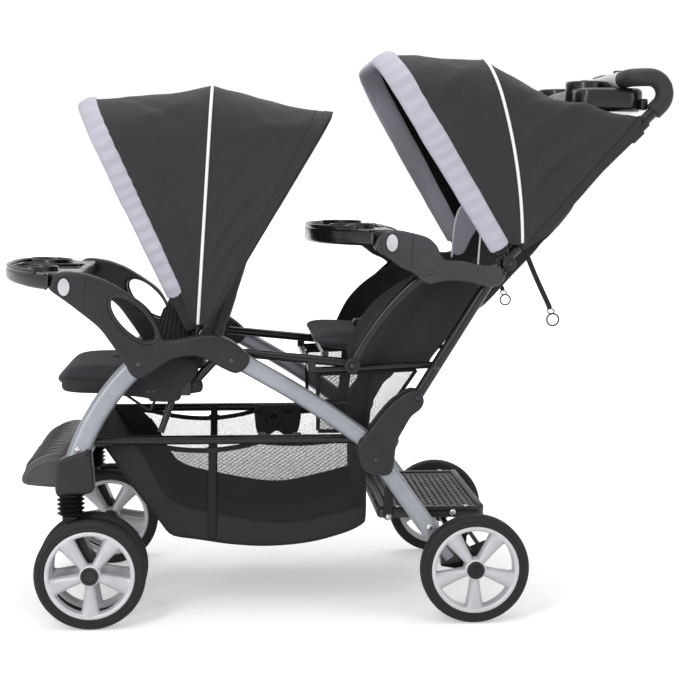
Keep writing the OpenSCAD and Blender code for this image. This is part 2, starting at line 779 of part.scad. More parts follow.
// Padded shapes: a grid over length and width with crown, drawn-in sides and sewn channels
pad_rows = 14;
pad_cols = 12;
channel_depth = 4;
pad_draw_share = 4;
function swell(u, v) = sqrt(sqrt(max(0, sin(180 * u) * sin(180 * v))));
function channel(u, count) = channel_depth * pow(abs(cos(180 * u * count)), 8);
// Points of one face of a pad: length runs along X, width along Y, and out is +1 or -1
function pad_face(l, w, edge, crown, count, out) = [
    for (i = [0:pad_rows]) [
        for (j = [0:pad_cols])
            let (
                u = i / pad_rows,
                v = j / pad_cols,
                draw = pad_draw_share / percent,
                x = l / 2 + (u - 1 / 2) * l * (1 - draw * sin(180 * v)),
                y = (v - 1 / 2) * w * (1 - draw * sin(180 * u)),
                rise = swell(u, v) * max(0, crown - channel(u, count))
            )
            [x, y, out * (edge / 2 + rise)]
    ]
];
module pad(l, w, edge, crown, under, count) {
    grid_solid(pad_face(l, w, edge, crown, count, 1), pad_face(l, w, edge, under, count, -1));
}
front_cushion_l = 200;
rear_cushion_l = 186;
rear_cushion_lead = 24;
rear_cushion_settle = 1.5;
front_backrest_l = 330;
rear_backrest_l = 385;
front_backrest_tilt = -73;
rear_backrest_tilt = -47;
cushion_under = 6;
// The seats' own pads are flatter than the backrests
seat_crown = 6;
cushion_settle = 2.4;
channel_count = 3;
module front_seat_cushion() {
    rise = seat_tube_d / 2 + cushion_edge / 2 + cushion_under - cushion_settle + part_gap;
    nose = seat_tube_nose - [seat_tube_d, 0];
    color("#333336") translate([nose[0], 0, nose[1] + rise]) 
        pad(front_cushion_l, cushion_w, cushion_edge, seat_crown, cushion_under, channel_count);
}
module rear_seat_cushion() {
    along = seat_rear_tube - seat_front_tube;
    rise = rail_cross_d / 2 + cushion_edge / 2 + cushion_under - rear_cushion_settle + part_gap;
    color("#333336") translate([seat_front_tube[0], 0, seat_front_tube[1]])
        rotate([0, -atan2(along[1], along[0]), 0]) translate([-rear_cushion_lead, 0, rise])
            pad(rear_cushion_l, cushion_w, cushion_edge, seat_crown, cushion_under, channel_count);
}
module backrest(hinge, tilt, l) {
    color("#333336") translate([hinge[0], 0, hinge[1]]) rotate([0, tilt, 0])
        translate([hinge_rod_d / 2 + part_gap, 0, 0])
            pad(l, backrest_w, cushion_edge, cushion_crown, cushion_crown, channel_count + 1);
}
rear_hinge_share = 37;
rear_hinge = mix(bar_foot, bar_elbow, rear_hinge_share / percent);
module front_backrest() {
    backrest(front_hinge, front_backrest_tilt, front_backrest_l);
}
module rear_backrest() {
    backrest(rear_hinge, rear_backrest_tilt, rear_backrest_l);
}
// Cloth side panels of the rear seat, standing on its cross tubes
seat_side_l = 215;
seat_side_h = 146;
seat_side_y = 160;
seat_side_t = 6;
seat_side_lead = 21;
seat_side_shares = [
    [0, 6], [8, 29], [19, 54], [32, 76], [44, 93], [56, 98], [73, 100], [94, 93], [83, 73],
    [69, 46], [56, 21], [49, 6], [42, 0], [19, 0]
];
module rear_seat_sides() {
    corner = [knob_pivot[0] + seat_side_lead, seat_rear_tube[1] + rail_cross_d / 2 + part_gap];
    color("#303033") both_sides()
        slab(smooth(from_shares(seat_side_shares, seat_side_l, seat_side_h, corner), 2),
            seat_side_y, seat_side_y + seat_side_t);
}

// Push bar: one tube from the left hinge housing round the handle to the right one
bar_bend = 150;
handle_corner = [bar_elbow[0] + handle_z - bar_elbow[1], handle_z];
cross_bar = [cross_bar_x, handle_z];
grip_start_share = 83.5;
grip_end_y = handle_cover_l / 2 + part_gap;
module push_bar() {
    stud_end = canopy_layer(2);
    left = [for (p = [bar_foot, bar_elbow, handle_corner, cross_bar]) lift(p, -push_y)];
    right = [for (p = [cross_bar, handle_corner, bar_elbow, bar_foot]) lift(p, push_y)];
    color("#1b1b1d") {
        difference() {
            union() {
                run(concat(left, right),
                    [bar_bend, handle_bend, handle_bend, handle_bend, handle_bend, bar_bend],
                    push_bar_d, push_bar_d);
                cross_rod(rear_hinge, hinge_rod_d, push_y);
            }
            both_sides() rod(seat_pivot, pin_d + 2 * pin_play, push_y - push_bar_d, push_y + push_bar_d);
        }
        both_sides() rod(canopy_hub, pin_d, push_y, stud_end);
    }
}
module grip_path(d) {
    start = mix(bar_elbow, handle_corner, grip_start_share / percent);
    run([lift(start, -push_y), lift(handle_corner, -push_y), lift(cross_bar, -push_y),
        lift(cross_bar, -grip_end_y)], [handle_bend, handle_bend], d, d);
}
module handle_grips() {
    start = bar_elbow;
    color("#2a2a2c") both_sides() difference() {
        grip_path(grip_d);
        run([lift(start, -push_y), lift(handle_corner, -push_y), lift(cross_bar, -push_y),
            lift(cross_bar, 0)], [handle_bend, handle_bend],
            push_bar_d + 2 * pin_play, push_bar_d + 2 * pin_play);
    }
}
// Grey cover in the middle of the handle
module handle_cover() {
    color("#b4b6bb") difference() {
        translate([cross_bar_x, 0, handle_z]) rotate([90, 0, 0])
            linear_extrude(handle_cover_l, center = true)
                circle(d = grip_d - swing_gap);
        cross_rod(cross_bar, push_bar_d + 2 * pin_play, handle_cover_l);
    }
}
// Parent tray: two cup holders and a middle pocket, on ears that lie against the push bar
parent_tray_l = 116;
parent_tray_rear = 32;
parent_tray_drop = 50;
parent_tray_z = handle_z - parent_tray_drop;
parent_cup_y = 112;
parent_rim = 4;
parent_rim_h = 12;
parent_wall = 4;
ear_l = 14;
ear_h = 18;
module parent_tray() {
    body_x = cross_bar_x + parent_tray_rear - parent_tray_l;
    cup_r = parent_cup_d / 2 + parent_rim;
    cup_x = cross_bar_x - grip_d / 2 - swing_gap - cup_r;
    pocket_y = parent_cup_y - cup_r - parent_wall;
    ear_out = push_y - push_bar_d / 2 - part_gap;
    ear_in = parent_tray_w / 2 - ear_l;
    color("#232325") difference() {
        union() {
            translate([body_x, -parent_tray_w / 2, parent_tray_z])
                cube([parent_tray_l, parent_tray_w, parent_tray_h]);
            for (side = [-1, 1]) translate([cup_x, side * parent_cup_y, parent_tray_z])
                cylinder(r = cup_r, h = parent_tray_h + parent_rim_h);
            both_sides() translate([body_x + parent_tray_l - ear_l, -ear_out, parent_tray_z - ear_h])
                cube([ear_l, ear_out - ear_in, ear_h + parent_tray_h / 2]);
        }
        for (side = [-1, 1]) translate([cup_x, side * parent_cup_y, parent_tray_z + parent_wall])
            cylinder(d = parent_cup_d, h = parent_tray_h + parent_rim_h);
        translate([body_x + parent_wall, -pocket_y, parent_tray_z + parent_wall])
            cube([parent_tray_l - 2 * parent_wall, 2 * pocket_y, parent_tray_h]);
    }
}
// Fold latches: sleeves that slide on the push bar below the grips
sleeve_l = 36;
sleeve_wall = 2.5;
sleeve_share = 70;
module latch_sleeves() {
    a = lift(mix(bar_elbow, handle_corner, sleeve_share / percent), -push_y);
    d = unit(lift(handle_corner - bar_elbow, 0));
    outer = push_bar_d + 2 * sleeve_wall;
    inner = push_bar_d + 2 * pin_play;
    color("#202022") both_sides() difference() {
        run([a - d * sleeve_l / 2, a + d * sleeve_l / 2], [], outer, outer);
        run([a - d * sleeve_l, a + d * sleeve_l], [], inner, inner);
    }
}

// Armrest uprights, curved tubes from the knobs to the armrests
upright_bend = 430;
module armrest_uprights() {
    color("#1b1b1d") both_sides() difference() {
        run([lift(knob_pivot - unit(upright_elbow - knob_pivot) * pin_d, -push_y),
            lift(upright_elbow, -push_y), lift(upright_head, -push_y)], [upright_bend],
            upright_d, upright_d);
        rod(knob_pivot, pin_d + 2 * pin_play, push_y - upright_d, push_y + upright_d);
    }
}
// Armrests with an inner tab that turns on the canopy stud
armrest_shares = [
    [0, 70], [3, 87], [9, 98], [18, 100], [29, 95], [39, 88], [46, 74], [50, 55], [55, 47],
    [66, 46], [79, 39], [87, 39], [94, 45], [98, 36], [98, 21], [95, 6], [88, 0], [81, 2], [71, 8],
    [57, 11], [47, 8], [42, 5], [36, 10], [29, 24], [20, 34], [12, 48], [4, 61]
];
armrest_button_shares = [13, 78];
armrest_rivet_shares = [42, 27];
armrest_tab_t = 4;
armrest_tab_d = 24;
canopy_disc_d = 22;
armrest_hub_share = 42;
armrest_corner = canopy_hub - [armrest_l, armrest_h * armrest_hub_share / percent];
function rear_button_at() = from_shares([armrest_button_shares], armrest_l, armrest_h, armrest_corner)[0];
module armrest(side) {
    clear_d = canopy_disc_d + 4 * swing_gap;
    color("#2f2f32") on_side(side) {
        difference() {
            slab(smooth(from_shares(armrest_shares, armrest_l, armrest_h, armrest_corner), 3),
                armrest_in, armrest_out);
            rod(canopy_hub, clear_d, armrest_in + armrest_tab_t, armrest_out + overrun);
            rod(canopy_hub, armrest_tab_d - swing_gap, armrest_in - overrun,
                armrest_in + armrest_tab_t + overrun);
            button_pocket(rear_button_at(), armrest_out);
        }
        difference() {
            rod(canopy_hub, armrest_tab_d, armrest_in, armrest_in + armrest_tab_t);
            rod(canopy_hub, pin_d + 2 * pin_play, armrest_in - overrun, armrest_out);
        }
        rod(from_shares([armrest_rivet_shares], armrest_l, armrest_h, armrest_corner)[0],
            rivet_d, armrest_out, armrest_out + rivet_h);
    }
}
module rear_tray_button(side) {
    color("#c3c4c8") on_side(side) button(rear_button_at(), armrest_out);
}

// Child trays: a rounded front edge, a narrower back between the arms, cups and a middle tray
// Clear of the side plates' rounded ends, which reach a little past their corners
tray_lead = 2.8;
tray_wall = 4;
tray_top_share = 98;
tray_cup_y = 118;
tray_cup_lead = 28;
tray_back = 44;
tray_middle_w = 130;
tray_middle_depth = 12;
front_edge_power = 3;
tray_edge_steps = 20;
module child_tray(tip_x, reach, half, half_back, top) {
    front = [
        for (i = [0:tray_edge_steps])
            let (s = 2 * i / tray_edge_steps - 1)
            [tip_x - reach * (1 - pow(abs(s), front_edge_power)), s * half]
    ];
    back = [
        [tip_x, half], [tip_x, half_back], [tip_x + tray_back, half_back],
        [tip_x + tray_back, -half_back], [tip_x, -half_back]
    ];
    cup_x = tip_x - tray_cup_lead;
    translate([0, 0, top - tray_h]) difference() {
        linear_extrude(tray_h) polygon(concat(front, back));
        for (side = [-1, 1]) translate([cup_x, side * tray_cup_y, tray_h - tray_cup_depth])
            cylinder(d = tray_cup_d, h = tray_cup_depth + overrun);
        translate([tip_x - reach + tray_wall * 3, -tray_middle_w / 2, tray_h - tray_middle_depth])
            cube([reach + tray_back - tray_wall * 4, tray_middle_w, tray_middle_depth + overrun]);
    }
}
module front_tray() {
    color("#2b2b2e") child_tray(plate_corner[0] - tray_lead, front_tray_reach,
        plate_out - swing_gap, plate_in - part_gap, plate_corner[1] + plate_h * tray_top_share / percent);
}
module rear_tray() {
    color("#2b2b2e") child_tray(armrest_corner[0] - part_gap, rear_tray_reach,
        armrest_out - swing_gap, armrest_in - part_gap, armrest_corner[1] + armrest_h);
}

// Canopies: bows that turn on one stud, cloth between them and a padded band on the front bow
bow_pitch = bow_d + swing_gap;
front_bow_extra = 3;
function bow_layer(i) = plate_in - cloth_t - 2 * part_gap - bow_d / 2 - bow_pitch * i
    - (i == 2 ? front_bow_extra : 0);
function canopy_layer(i) = armrest_in + armrest_tab_t + swing_gap * 2 + bow_d / 2 + bow_pitch * (i - 1)
    + (i == 2 ? front_bow_extra : 0);
front_canopy_angles = [114.8, 86.3, 59];
front_canopy_reach = [455, 443, 462];
front_canopy_top_y = [163, 170, 175];
rear_canopy_angles = [120.4, 94.6, 48.4];
rear_canopy_reach = [411, 351, 341];
rear_canopy_top_y = [180, 190, 236];
cloth_foot = 30;
front_cloth_lift = 0.9;
rear_cloth_lift = 1.6;
band_foot = 62;
function on_bow(hub, angle, s) =
    [hub[0] + s[1] * cos(angle), s[0], hub[1] + s[1] * sin(angle)];
function bow_path(hub, angle, reach, foot_y, top_y) = [
    for (s = [[-foot_y, 0], [-top_y, reach], [top_y, reach], [foot_y, 0]]) on_bow(hub, angle, s)
];
module bow(hub, angle, reach, foot_y, top_y) {
    path = bow_path(hub, angle, reach, foot_y, top_y);
    normal = [-sin(angle), 0, cos(angle)];
    difference() {
        union() {
            run(path, [bow_corner, bow_corner], bow_d, bow_d, normal);
            both_sides() rod(hub, canopy_disc_d, foot_y - bow_d / 2, foot_y + bow_d / 2);
        }
        both_sides() rod(hub, pin_d + 2 * pin_play, foot_y - bow_d, foot_y + bow_d);
    }
}
module band(hub, angle, reach, foot_y, top_y) {
    share = band_foot / reach;
    path = bow_path(hub, angle, reach, foot_y, top_y);
    cut = [mix(path[0], path[1], share), path[1], path[2], mix(path[3], path[2], share)];
    normal = [-sin(angle), 0, cos(angle)];
    difference() {
        run(cut, [bow_corner, bow_corner], band_t, band_w, normal);
        run(path, [bow_corner, bow_corner], bow_d + 2 * pin_play, bow_d + 2 * pin_play, normal);
    }
}
// Half of the cloth's section over a bow: up the leg, round the corner, to the middle of the top
corner_steps = 8;
function half_section(foot_y, top_y, reach, dip) =
    let (
        leg = unit([foot_y - top_y, -reach]),
        a = [top_y, reach] + leg * bow_corner,
        b = [top_y - bow_corner, reach],
        v = [top_y, reach],
        foot = [foot_y, cloth_foot],
        curve = [for (i = [0:corner_steps]) let (t = i / corner_steps)
            a * (1 - t) * (1 - t) + v * 2 * t * (1 - t) + b * t * t],
        whole = concat([foot, mix(foot, a, 1 / 2)], curve, [[0, reach]])
    )
    [for (p = whole) [p[0], p[1] - dip * cos(90 * min(1, p[0] / top_y))]];
function full_section(half) = concat(
    [for (p = half) [-p[0], p[1]]],
    [for (i = [len(half) - 2:-1:0]) half[i]]
);
panel_rows = 4;
// Rows of points from one bow to the next, drooping between them
function panel(hub, a, b, from, to) = [
    for (i = [0:panel_rows])
        let (t = i / panel_rows, droop = cloth_sag * sin(180 * t))
        [for (k = [0:len(from) - 1])
            let (
                p = on_bow(hub, a, from[k]),
                q = on_bow(hub, b, to[k]),
                m = mix(p, q, t),
                out = unit([m[0] - hub[0], 0, m[2] - hub[1]]),
                hold = min(1, (from[k][1] + to[k][1]) / 2 / bow_corner / 4)
            )
            m - out * droop * hold]
];
function drop_first(rows) = [for (i = [1:len(rows) - 1]) rows[i]];
// Cloth surface lying outside the bows by a given distance
function cover_surface(hub, angles, reach, foot_y, top_y, dips, lift, out) =
    let (
        start = angles[0] - (band_w / 2 + swing_gap) / reach[0] * 180 / PI,
        rise = bow_d / 2 + lift + out,
        s = [for (i = [0:2])
            full_section(half_section(foot_y + out, top_y[i] + rise, reach[i] + rise, dips[i]))],
        fore = panel(hub, start, angles[1], s[0], s[1]),
        aft = panel(hub, angles[1], angles[2], s[1], s[2])
    )
    concat(fore, drop_first(aft));
module cover(hub, angles, reach, foot_y, top_y, dips, lift) {
    grid_solid(cover_surface(hub, angles, reach, foot_y, top_y, dips, lift, cloth_t),
        cover_surface(hub, angles, reach, foot_y, top_y, dips, lift, 0));
}
module front_canopy_bow(i) {
    color("#1c1c1e") bow(front_canopy_hub, front_canopy_angles[i], front_canopy_reach[i],
        bow_layer(2 - i), front_canopy_top_y[i]);
}
module front_canopy_band() {
    color("#cfcfdc") band(front_canopy_hub, front_canopy_angles[0], front_canopy_reach[0],
        bow_layer(2), front_canopy_top_y[0]);
}
module front_canopy_cover() {
    color("#343436") cover(front_canopy_hub, front_canopy_angles, front_canopy_reach,
        bow_layer(0) + bow_d / 2 + part_gap, front_canopy_top_y, [0, 0, 0], front_cloth_lift);
}
module rear_canopy_bow(i) {
    color("#1c1c1e") bow(canopy_hub, rear_canopy_angles[i], rear_canopy_reach[i],
        canopy_layer(2 - i), rear_canopy_top_y[i]);
}
module rear_canopy_band() {
    color("#cfcfdc") band(canopy_hub, rear_canopy_angles[0], rear_canopy_reach[0],
        canopy_layer(2), rear_canopy_top_y[0]);
}
hem_dip = 70;
module rear_canopy_cover() {
    color("#343436") cover(canopy_hub, rear_canopy_angles, rear_canopy_reach,
        canopy_layer(2) + band_t / 2 + part_gap, rear_canopy_top_y, [0, 0, hem_dip], rear_cloth_lift);
}

// Recline straps looped round the push bar behind the rear seat, each with a pull ring
strap_w = 9;
strap_t = 2;
ring_d = 24;
ring_wire = 3;
strap_loop_share = 10.5;
strap_loop = mix(bar_elbow, handle_corner, strap_loop_share / percent);
bar_way = unit(handle_corner - bar_elbow);
strap_top = strap_loop + [bar_way[1], -bar_way[0]] * (push_bar_d / 2 + pin_play + strap_t / 2);
strap_end_offset = [81, -89];
strap_end = canopy_hub + strap_end_offset;
module recline_straps() {
    way = lift(bar_way, 0) * strap_w / 2;
    at = lift(strap_loop, -push_y);
    inner = push_bar_d + 2 * pin_play;
    color("#141416") both_sides() {
        difference() {
            run([at - way, at + way], [], inner + 2 * strap_t, inner + 2 * strap_t);
            run([at - way * 2, at + way * 2], [], inner, inner);
        }
        run([lift(strap_top, -push_y), lift(strap_end, -push_y)], [], strap_t, strap_w);
    }
}
module recline_rings() {
    centre = strap_end + unit(strap_end - strap_top) * (ring_d / 2 + part_gap);
    color("#1a1a1c") both_sides() translate([centre[0], -push_y, centre[1]]) rotate([90, 0, 0])
        rotate_extrude() translate([(ring_d - ring_wire) / 2, 0]) circle(d = ring_wire);
}

for (side = ["left", "right"]) {
    side_plate(side);
    caster_fork(side);
    caster_boot(side);
    front_tyres(side);
    front_rims(side);
    front_axle_pin(side);
    rear_tyre(side);
    rear_rim(side);
    armrest(side);
    front_tray_button(side);
    rear_tray_button(side);
}
front_legs();
rear_tubes();
rear_legs();
hinge_housings();
strut_housings();
lower_rails();
seat_rails();
footrest();
standing_platform();
rear_axle_frame();
basket();
front_seat_frame();
front_seat_cushion();
rear_seat_cushion();
rear_seat_sides();
frame_rivets();
push_bar();
handle_grips();
handle_cover();
parent_tray();
latch_sleeves();
armrest_uprights();
front_tray();
rear_tray();
brake_pedals();
front_backrest();
rear_backrest();
front_canopy_bow(0);  // front_canopy_front_bow
front_canopy_bow(1);  // front_canopy_mid_bow
front_canopy_bow(2);  // front_canopy_rear_bow
front_canopy_band();
front_canopy_cover();
rear_canopy_bow(0);  // rear_canopy_front_bow
rear_canopy_bow(1);  // rear_canopy_mid_bow
rear_canopy_band();
rear_canopy_cover();
recline_straps();
recline_rings();
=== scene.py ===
"""Tandem stroller: cloth, padding, rounded shells, trims, finishes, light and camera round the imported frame.

Shapes are worked out in millimetres in the model's frame: +X to the handle, +Z up, the left side at -Y.
"""

import bmesh
import bpy
import numpy as np
from mathutils import Matrix, Vector
from mathutils.geometry import tessellate_polygon


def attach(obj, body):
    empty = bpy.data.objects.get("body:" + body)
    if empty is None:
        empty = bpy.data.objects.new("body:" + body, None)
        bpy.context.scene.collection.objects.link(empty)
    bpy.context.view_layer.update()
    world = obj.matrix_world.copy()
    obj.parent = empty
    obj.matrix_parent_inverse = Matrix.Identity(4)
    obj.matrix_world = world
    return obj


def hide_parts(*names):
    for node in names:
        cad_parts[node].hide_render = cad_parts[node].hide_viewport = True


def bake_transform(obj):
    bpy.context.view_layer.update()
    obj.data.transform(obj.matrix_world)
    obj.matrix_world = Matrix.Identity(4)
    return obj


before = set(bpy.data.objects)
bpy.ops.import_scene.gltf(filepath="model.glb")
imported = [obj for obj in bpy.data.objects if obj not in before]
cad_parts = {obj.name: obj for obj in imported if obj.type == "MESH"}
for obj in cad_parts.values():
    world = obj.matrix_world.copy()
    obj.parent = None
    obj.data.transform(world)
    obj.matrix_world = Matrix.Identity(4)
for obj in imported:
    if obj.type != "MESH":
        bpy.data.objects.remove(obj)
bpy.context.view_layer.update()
MM = 0.001
MIRROR = np.array([1.0, -1.0, 1.0])
ACROSS, UP = (0, 1, 0), (0, 0, 1)
SIDES = ((-1, "left"), (1, "right"))
NET_TURN = np.array([[0.82, -0.57], [0.57, 0.82]])

# Places that several pieces share
PLATE_FACE, ARM_FACE = 233, 246
AXLE_Z = 96
BAR_Y = 213.0
HANDLE_X, HANDLE_Z = 509, 953
BUTTONS = {"front": (-468.4, 590.7, PLATE_FACE), "rear": (88.3, 666.9, ARM_FACE)}
BACKRESTS = {"front": ((-235.35, 435.9), 73, 330), "rear": ((188.1, 478.2), 47, 385)}


# Curves and sections


def unit(v):
    """Vectors divided by their lengths."""
    return v / np.maximum(np.linalg.norm(v, axis=-1, keepdims=True), 1e-9)


def even(path, count, closed=False):
    """count points at equal steps of length along a polyline."""
    s = np.concatenate([[0], np.cumsum(np.linalg.norm(np.diff(path, axis=0), axis=1))])
    at = np.linspace(0, s[-1], count, endpoint=not closed)
    return np.stack([np.interp(at, s, path[:, i]) for i in range(path.shape[1])], -1)


def through(points, count, closed=False):
    """Cubic through the points: each span's slopes are half the chords between its neighbours, then even steps."""
    p = np.asarray(points, float)
    if closed:
        e = np.concatenate([p[-1:], p, p[:2]])
    else:
        e = np.concatenate([2 * p[:1] - p[1:2], p, 2 * p[-1:] - p[-2:-1]])
    spans = len(e) - 3
    t = np.linspace(0, spans, spans * 20 + 1)
    k = np.minimum(t.astype(int), spans - 1)
    f = (t - k)[:, None]
    a, b, c, d = e[k], e[k + 1], e[k + 2], e[k + 3]
    dense = (2 * b + (c - a) * f + (2 * a - 5 * b + 4 * c - d) * f**2 + (3 * b - a - 3 * c + d) * f**3) / 2
    return even(dense, count, closed)


def rounded(points, radius, count):
    """A polyline whose inner corners become arcs of the given radius, in even steps."""
    p = np.asarray(points, float)
    r = np.broadcast_to(radius, (len(p) - 2,))
    parts = [p[:1]]
    for i in range(1, len(p) - 1):
        a, b = unit(p[i - 1] - p[i]), unit(p[i + 1] - p[i])
        half = np.arccos(np.clip((a * b).sum(), -1, 1)) / 2
        middle = p[i] + unit(a + b) * r[i - 1] / np.sin(half)
        near = p[i] + a * r[i - 1] / np.tan(half) - middle
        far = p[i] + b * r[i - 1] / np.tan(half) - middle
        t = np.linspace(0, 1, 13)[:, None]
        parts.append(middle + r[i - 1] * unit(near * (1 - t) + far * t))
    return even(np.concatenate(parts + [p[-1:]]), count)


def oval(w, h, count=24, power=2.0):
    """Closed section |a / (w/2)|^power + |b / (h/2)|^power = 1."""
    t = np.linspace(0, 2 * np.pi, count, endpoint=False)
    c, s = np.cos(t), np.sin(t)
    return np.stack([w / 2 * np.sign(c) * abs(c) ** (2 / power), h / 2 * np.sign(s) * abs(s) ** (2 / power)], -1)


def turned_oval(centre, l, w, degrees, count=64):
    """An ellipse whose length is turned by the angle."""
    a = np.radians(degrees)
    turn = np.array([[np.cos(a), np.sin(a)], [-np.sin(a), np.cos(a)]])
    return oval(l, w, count) @ turn + centre


def at_y(line, y):
    """Points (x, z) of the side view as points of the model at the given y."""
    p = np.asarray(line, float)
    return np.stack([p[..., 0], np.broadcast_to(y, p.shape[:-1]), p[..., 1]], -1)


def carry(path, section, normal):
    """A section carried along a path: its first axis is normal x tangent, its second the normal made square to it."""
    t = unit(np.gradient(path, axis=0))
    n = np.broadcast_to(np.asarray(normal, float), path.shape)
    n = unit(n - (n * t).sum(-1, keepdims=True) * t)
    b = np.cross(n, t)
    s = np.asarray(section, float)
    s = np.broadcast_to(s, (len(path),) + s.shape[-2:]) if s.ndim == 2 else s
    return path[:, None] + s[..., :1] * b[:, None] + s[..., 1:] * n[:, None]


def blunt(path, count, r):
    """Steps along a path with closer ones near both ends, and the shrink that rounds those ends to radius r."""
    s = np.concatenate([[0], np.cumsum(np.linalg.norm(np.diff(path, axis=0), axis=1))])
    a = np.linspace(0.08, np.pi / 2, 6)
    lead = r * (1 - np.cos(a))
    at = np.concatenate([lead, np.linspace(r, s[-1] - r, count)[1:-1], s[-1] - lead[::-1]])
    shrink = np.concatenate([np.sin(a), np.ones(count - 2), np.sin(a)[::-1]])
    return np.stack([np.interp(at, s, path[:, i]) for i in range(3)], -1), shrink[:, None, None]


def capped(p):
    """Rings along a run with its end rings drawn together to a point, so that the run is closed."""
    ends = [np.repeat(p[[k]].mean(1, keepdims=True), p.shape[1], 1) for k in (0, -1)]
    return np.concatenate([ends[0], p, ends[1]])


def ripple(x, seeds):
    """Sum of sines of x with steps and phases from the seeds, between about -1 and 1."""
    k = np.asarray(seeds, float)
    return (np.sin(np.asarray(x)[..., None] * k + k * 7.3) / np.arange(1, len(k) + 1)).sum(-1) / 1.6


# Pieces


class Piece:
    """One named piece gathered from surfaces in millimetres, with a UV map in metres along each of them."""

    def __init__(self, name):
        self.name, self.v, self.f, self.uv, self.slots, self.count = name, [], [], [], [], 0

    def add(self, points, faces, uv, slot):
        self.v.append(points)
        self.f.append(faces + self.count)
        self.uv.append(uv.reshape(-1))
        self.slots.append(np.full(len(faces), slot))
        self.count += len(points)

    def grid(self, p, wrap_u=False, wrap_v=False, slot=0, flip=False, both=False, plan=None):
        """Quads between neighbouring points of a grid; both adds the mirror image across the centre plane, and plan
        names two axes whose coordinates, turned by 35 degrees, are the UV map in place of the lengths along it."""
        p = np.asarray(p, float)
        n, m = p.shape[:2]
        i, j = np.meshgrid(np.arange(n - 1 + wrap_u), np.arange(m - 1 + wrap_v), indexing="ij")
        corners = [(i, j), (i + 1, j), (i + 1, j + 1), (i, j + 1)][:: -1 if flip else 1]
        faces = np.stack([(a % n) * m + b % m for a, b in corners], -1).reshape(-1, 4)
        u = np.linalg.norm(np.roll(p, -1, 0) - p, axis=-1).mean(1)
        v = np.linalg.norm(np.roll(p, -1, 1) - p, axis=-1).mean(0)
        u, v = np.concatenate([[0], np.cumsum(u)]), np.concatenate([[0], np.cumsum(v)])
        uv = np.stack([np.stack([u[a], v[b]], -1) for a, b in corners], -2)
        if plan:
            uv = np.stack([p[a % n, b % m][..., plan] @ NET_TURN for a, b in corners], -2)
        self.add(p.reshape(-1, 3), faces, uv, slot)
        if both:
            self.grid(p * MIRROR, wrap_u, wrap_v, slot, not flip)
        return self

    def tube(self, path, section, normal, ends=None, slot=0, both=False):
        """A closed section along a path; ends is the radius that rounds off both ends."""
        ends = ends or 0.4 * np.ptp(section, axis=0).min()
        path, shrink = blunt(np.asarray(path, float), max(len(path), 6), ends)
        return self.grid(capped(carry(path, section * shrink, normal)), wrap_v=True, slot=slot, both=both)

    def bead(self, loop, section, normal, slot=0, both=False):
        """A closed section round a closed path."""
        path = np.concatenate([loop, loop[:2]])
        return self.grid(carry(path, section, normal)[1:-1], True, True, slot, both=both)

    def lathe(self, profile, centre, axis=(0, -1, 0), count=56, slot=0, both=False, closed=False):
        """A profile of (radius, height along the axis) turned round the axis through centre."""
        axis = unit(np.asarray(axis, float))
        side = unit(np.cross(axis, [0.3, 0.2, 0.93] if abs(axis[2]) < 0.9 else [1, 0, 0]))
        t = np.linspace(0, 2 * np.pi, count, endpoint=False)
        ring = np.cos(t)[:, None] * side + np.sin(t)[:, None] * np.cross(axis, side)
        q = np.asarray(profile, float)
        p = np.asarray(centre, float) + ring[:, None] * q[None, :, :1] + axis * q[None, :, 1:]
        return self.grid(p, wrap_u=True, wrap_v=closed, slot=slot, both=both)

    def slab(self, outline, low, high, edge, holes=(), flat=False, slot=0, both=True, steps=4):
        """A slab with rounded edges: near each face the outline is drawn in by edge (1 - sin a) while the height
        turns by edge (1 - cos a); holes widen in the same way, both less where they come close to each other. It
        stands across Y, or lies flat across Z."""
        a = np.linspace(0, np.pi / 2, steps + 1)
        inset = np.concatenate([[1.3 * edge], edge * (1 - np.sin(a)), edge * (1 - np.sin(a))[::-1], [1.3 * edge]])
        height = np.concatenate([[low], low + edge * (1 - np.cos(a)), high - edge * (1 - np.cos(a))[::-1], [high]])
        rims = []
        lines = [np.asarray(line, float) for line in [outline] + list(holes)]
        for k, line in enumerate(lines):
            others = np.concatenate([q for i, q in enumerate(lines) if i != k] + [np.full((1, 2), 1e6)])
            gap = np.linalg.norm(line[:, None] - others[None], axis=-1).min(1)
            share = np.minimum(1, 0.3 * gap / edge)
            turn = np.roll(line, -1, 0) - np.roll(line, 1, 0)
            area = (line[:, 0] * np.roll(line[:, 1], -1) - line[:, 1] * np.roll(line[:, 0], -1)).sum()
            out = unit(np.stack([turn[:, 1], -turn[:, 0]], -1)) * np.sign(area) * (1 if k == 0 else -1)
            ring = line[None] - inset[:, None, None] * (share[:, None] * out)[None]
            self.grid(self.lay(ring, height[:, None], flat), wrap_v=True, slot=slot, both=both)
            rims.append(ring)
        for end in (0, -1):
            loops = [[Vector((x, y, 0)) for x, y in r[end]] for r in rims]
            tris = np.array(tessellate_polygon(loops))
            pts = np.concatenate([r[end] for r in rims])
            p = self.lay(pts, np.full(len(pts), height[end]), flat)
            for q in (p, p * MIRROR) if both else (p,):
                self.add(q, tris, pts[tris], slot)
        return self

    @staticmethod
    def lay(ring, height, flat):
        """A plane line as points of the model: flat at the height, or upright at y = -height."""
        h = np.broadcast_to(height, ring.shape[:-1])
        parts = [ring[..., 0], ring[..., 1], h] if flat else [ring[..., 0], -h, ring[..., 1]]
        return np.stack(parts, -1)

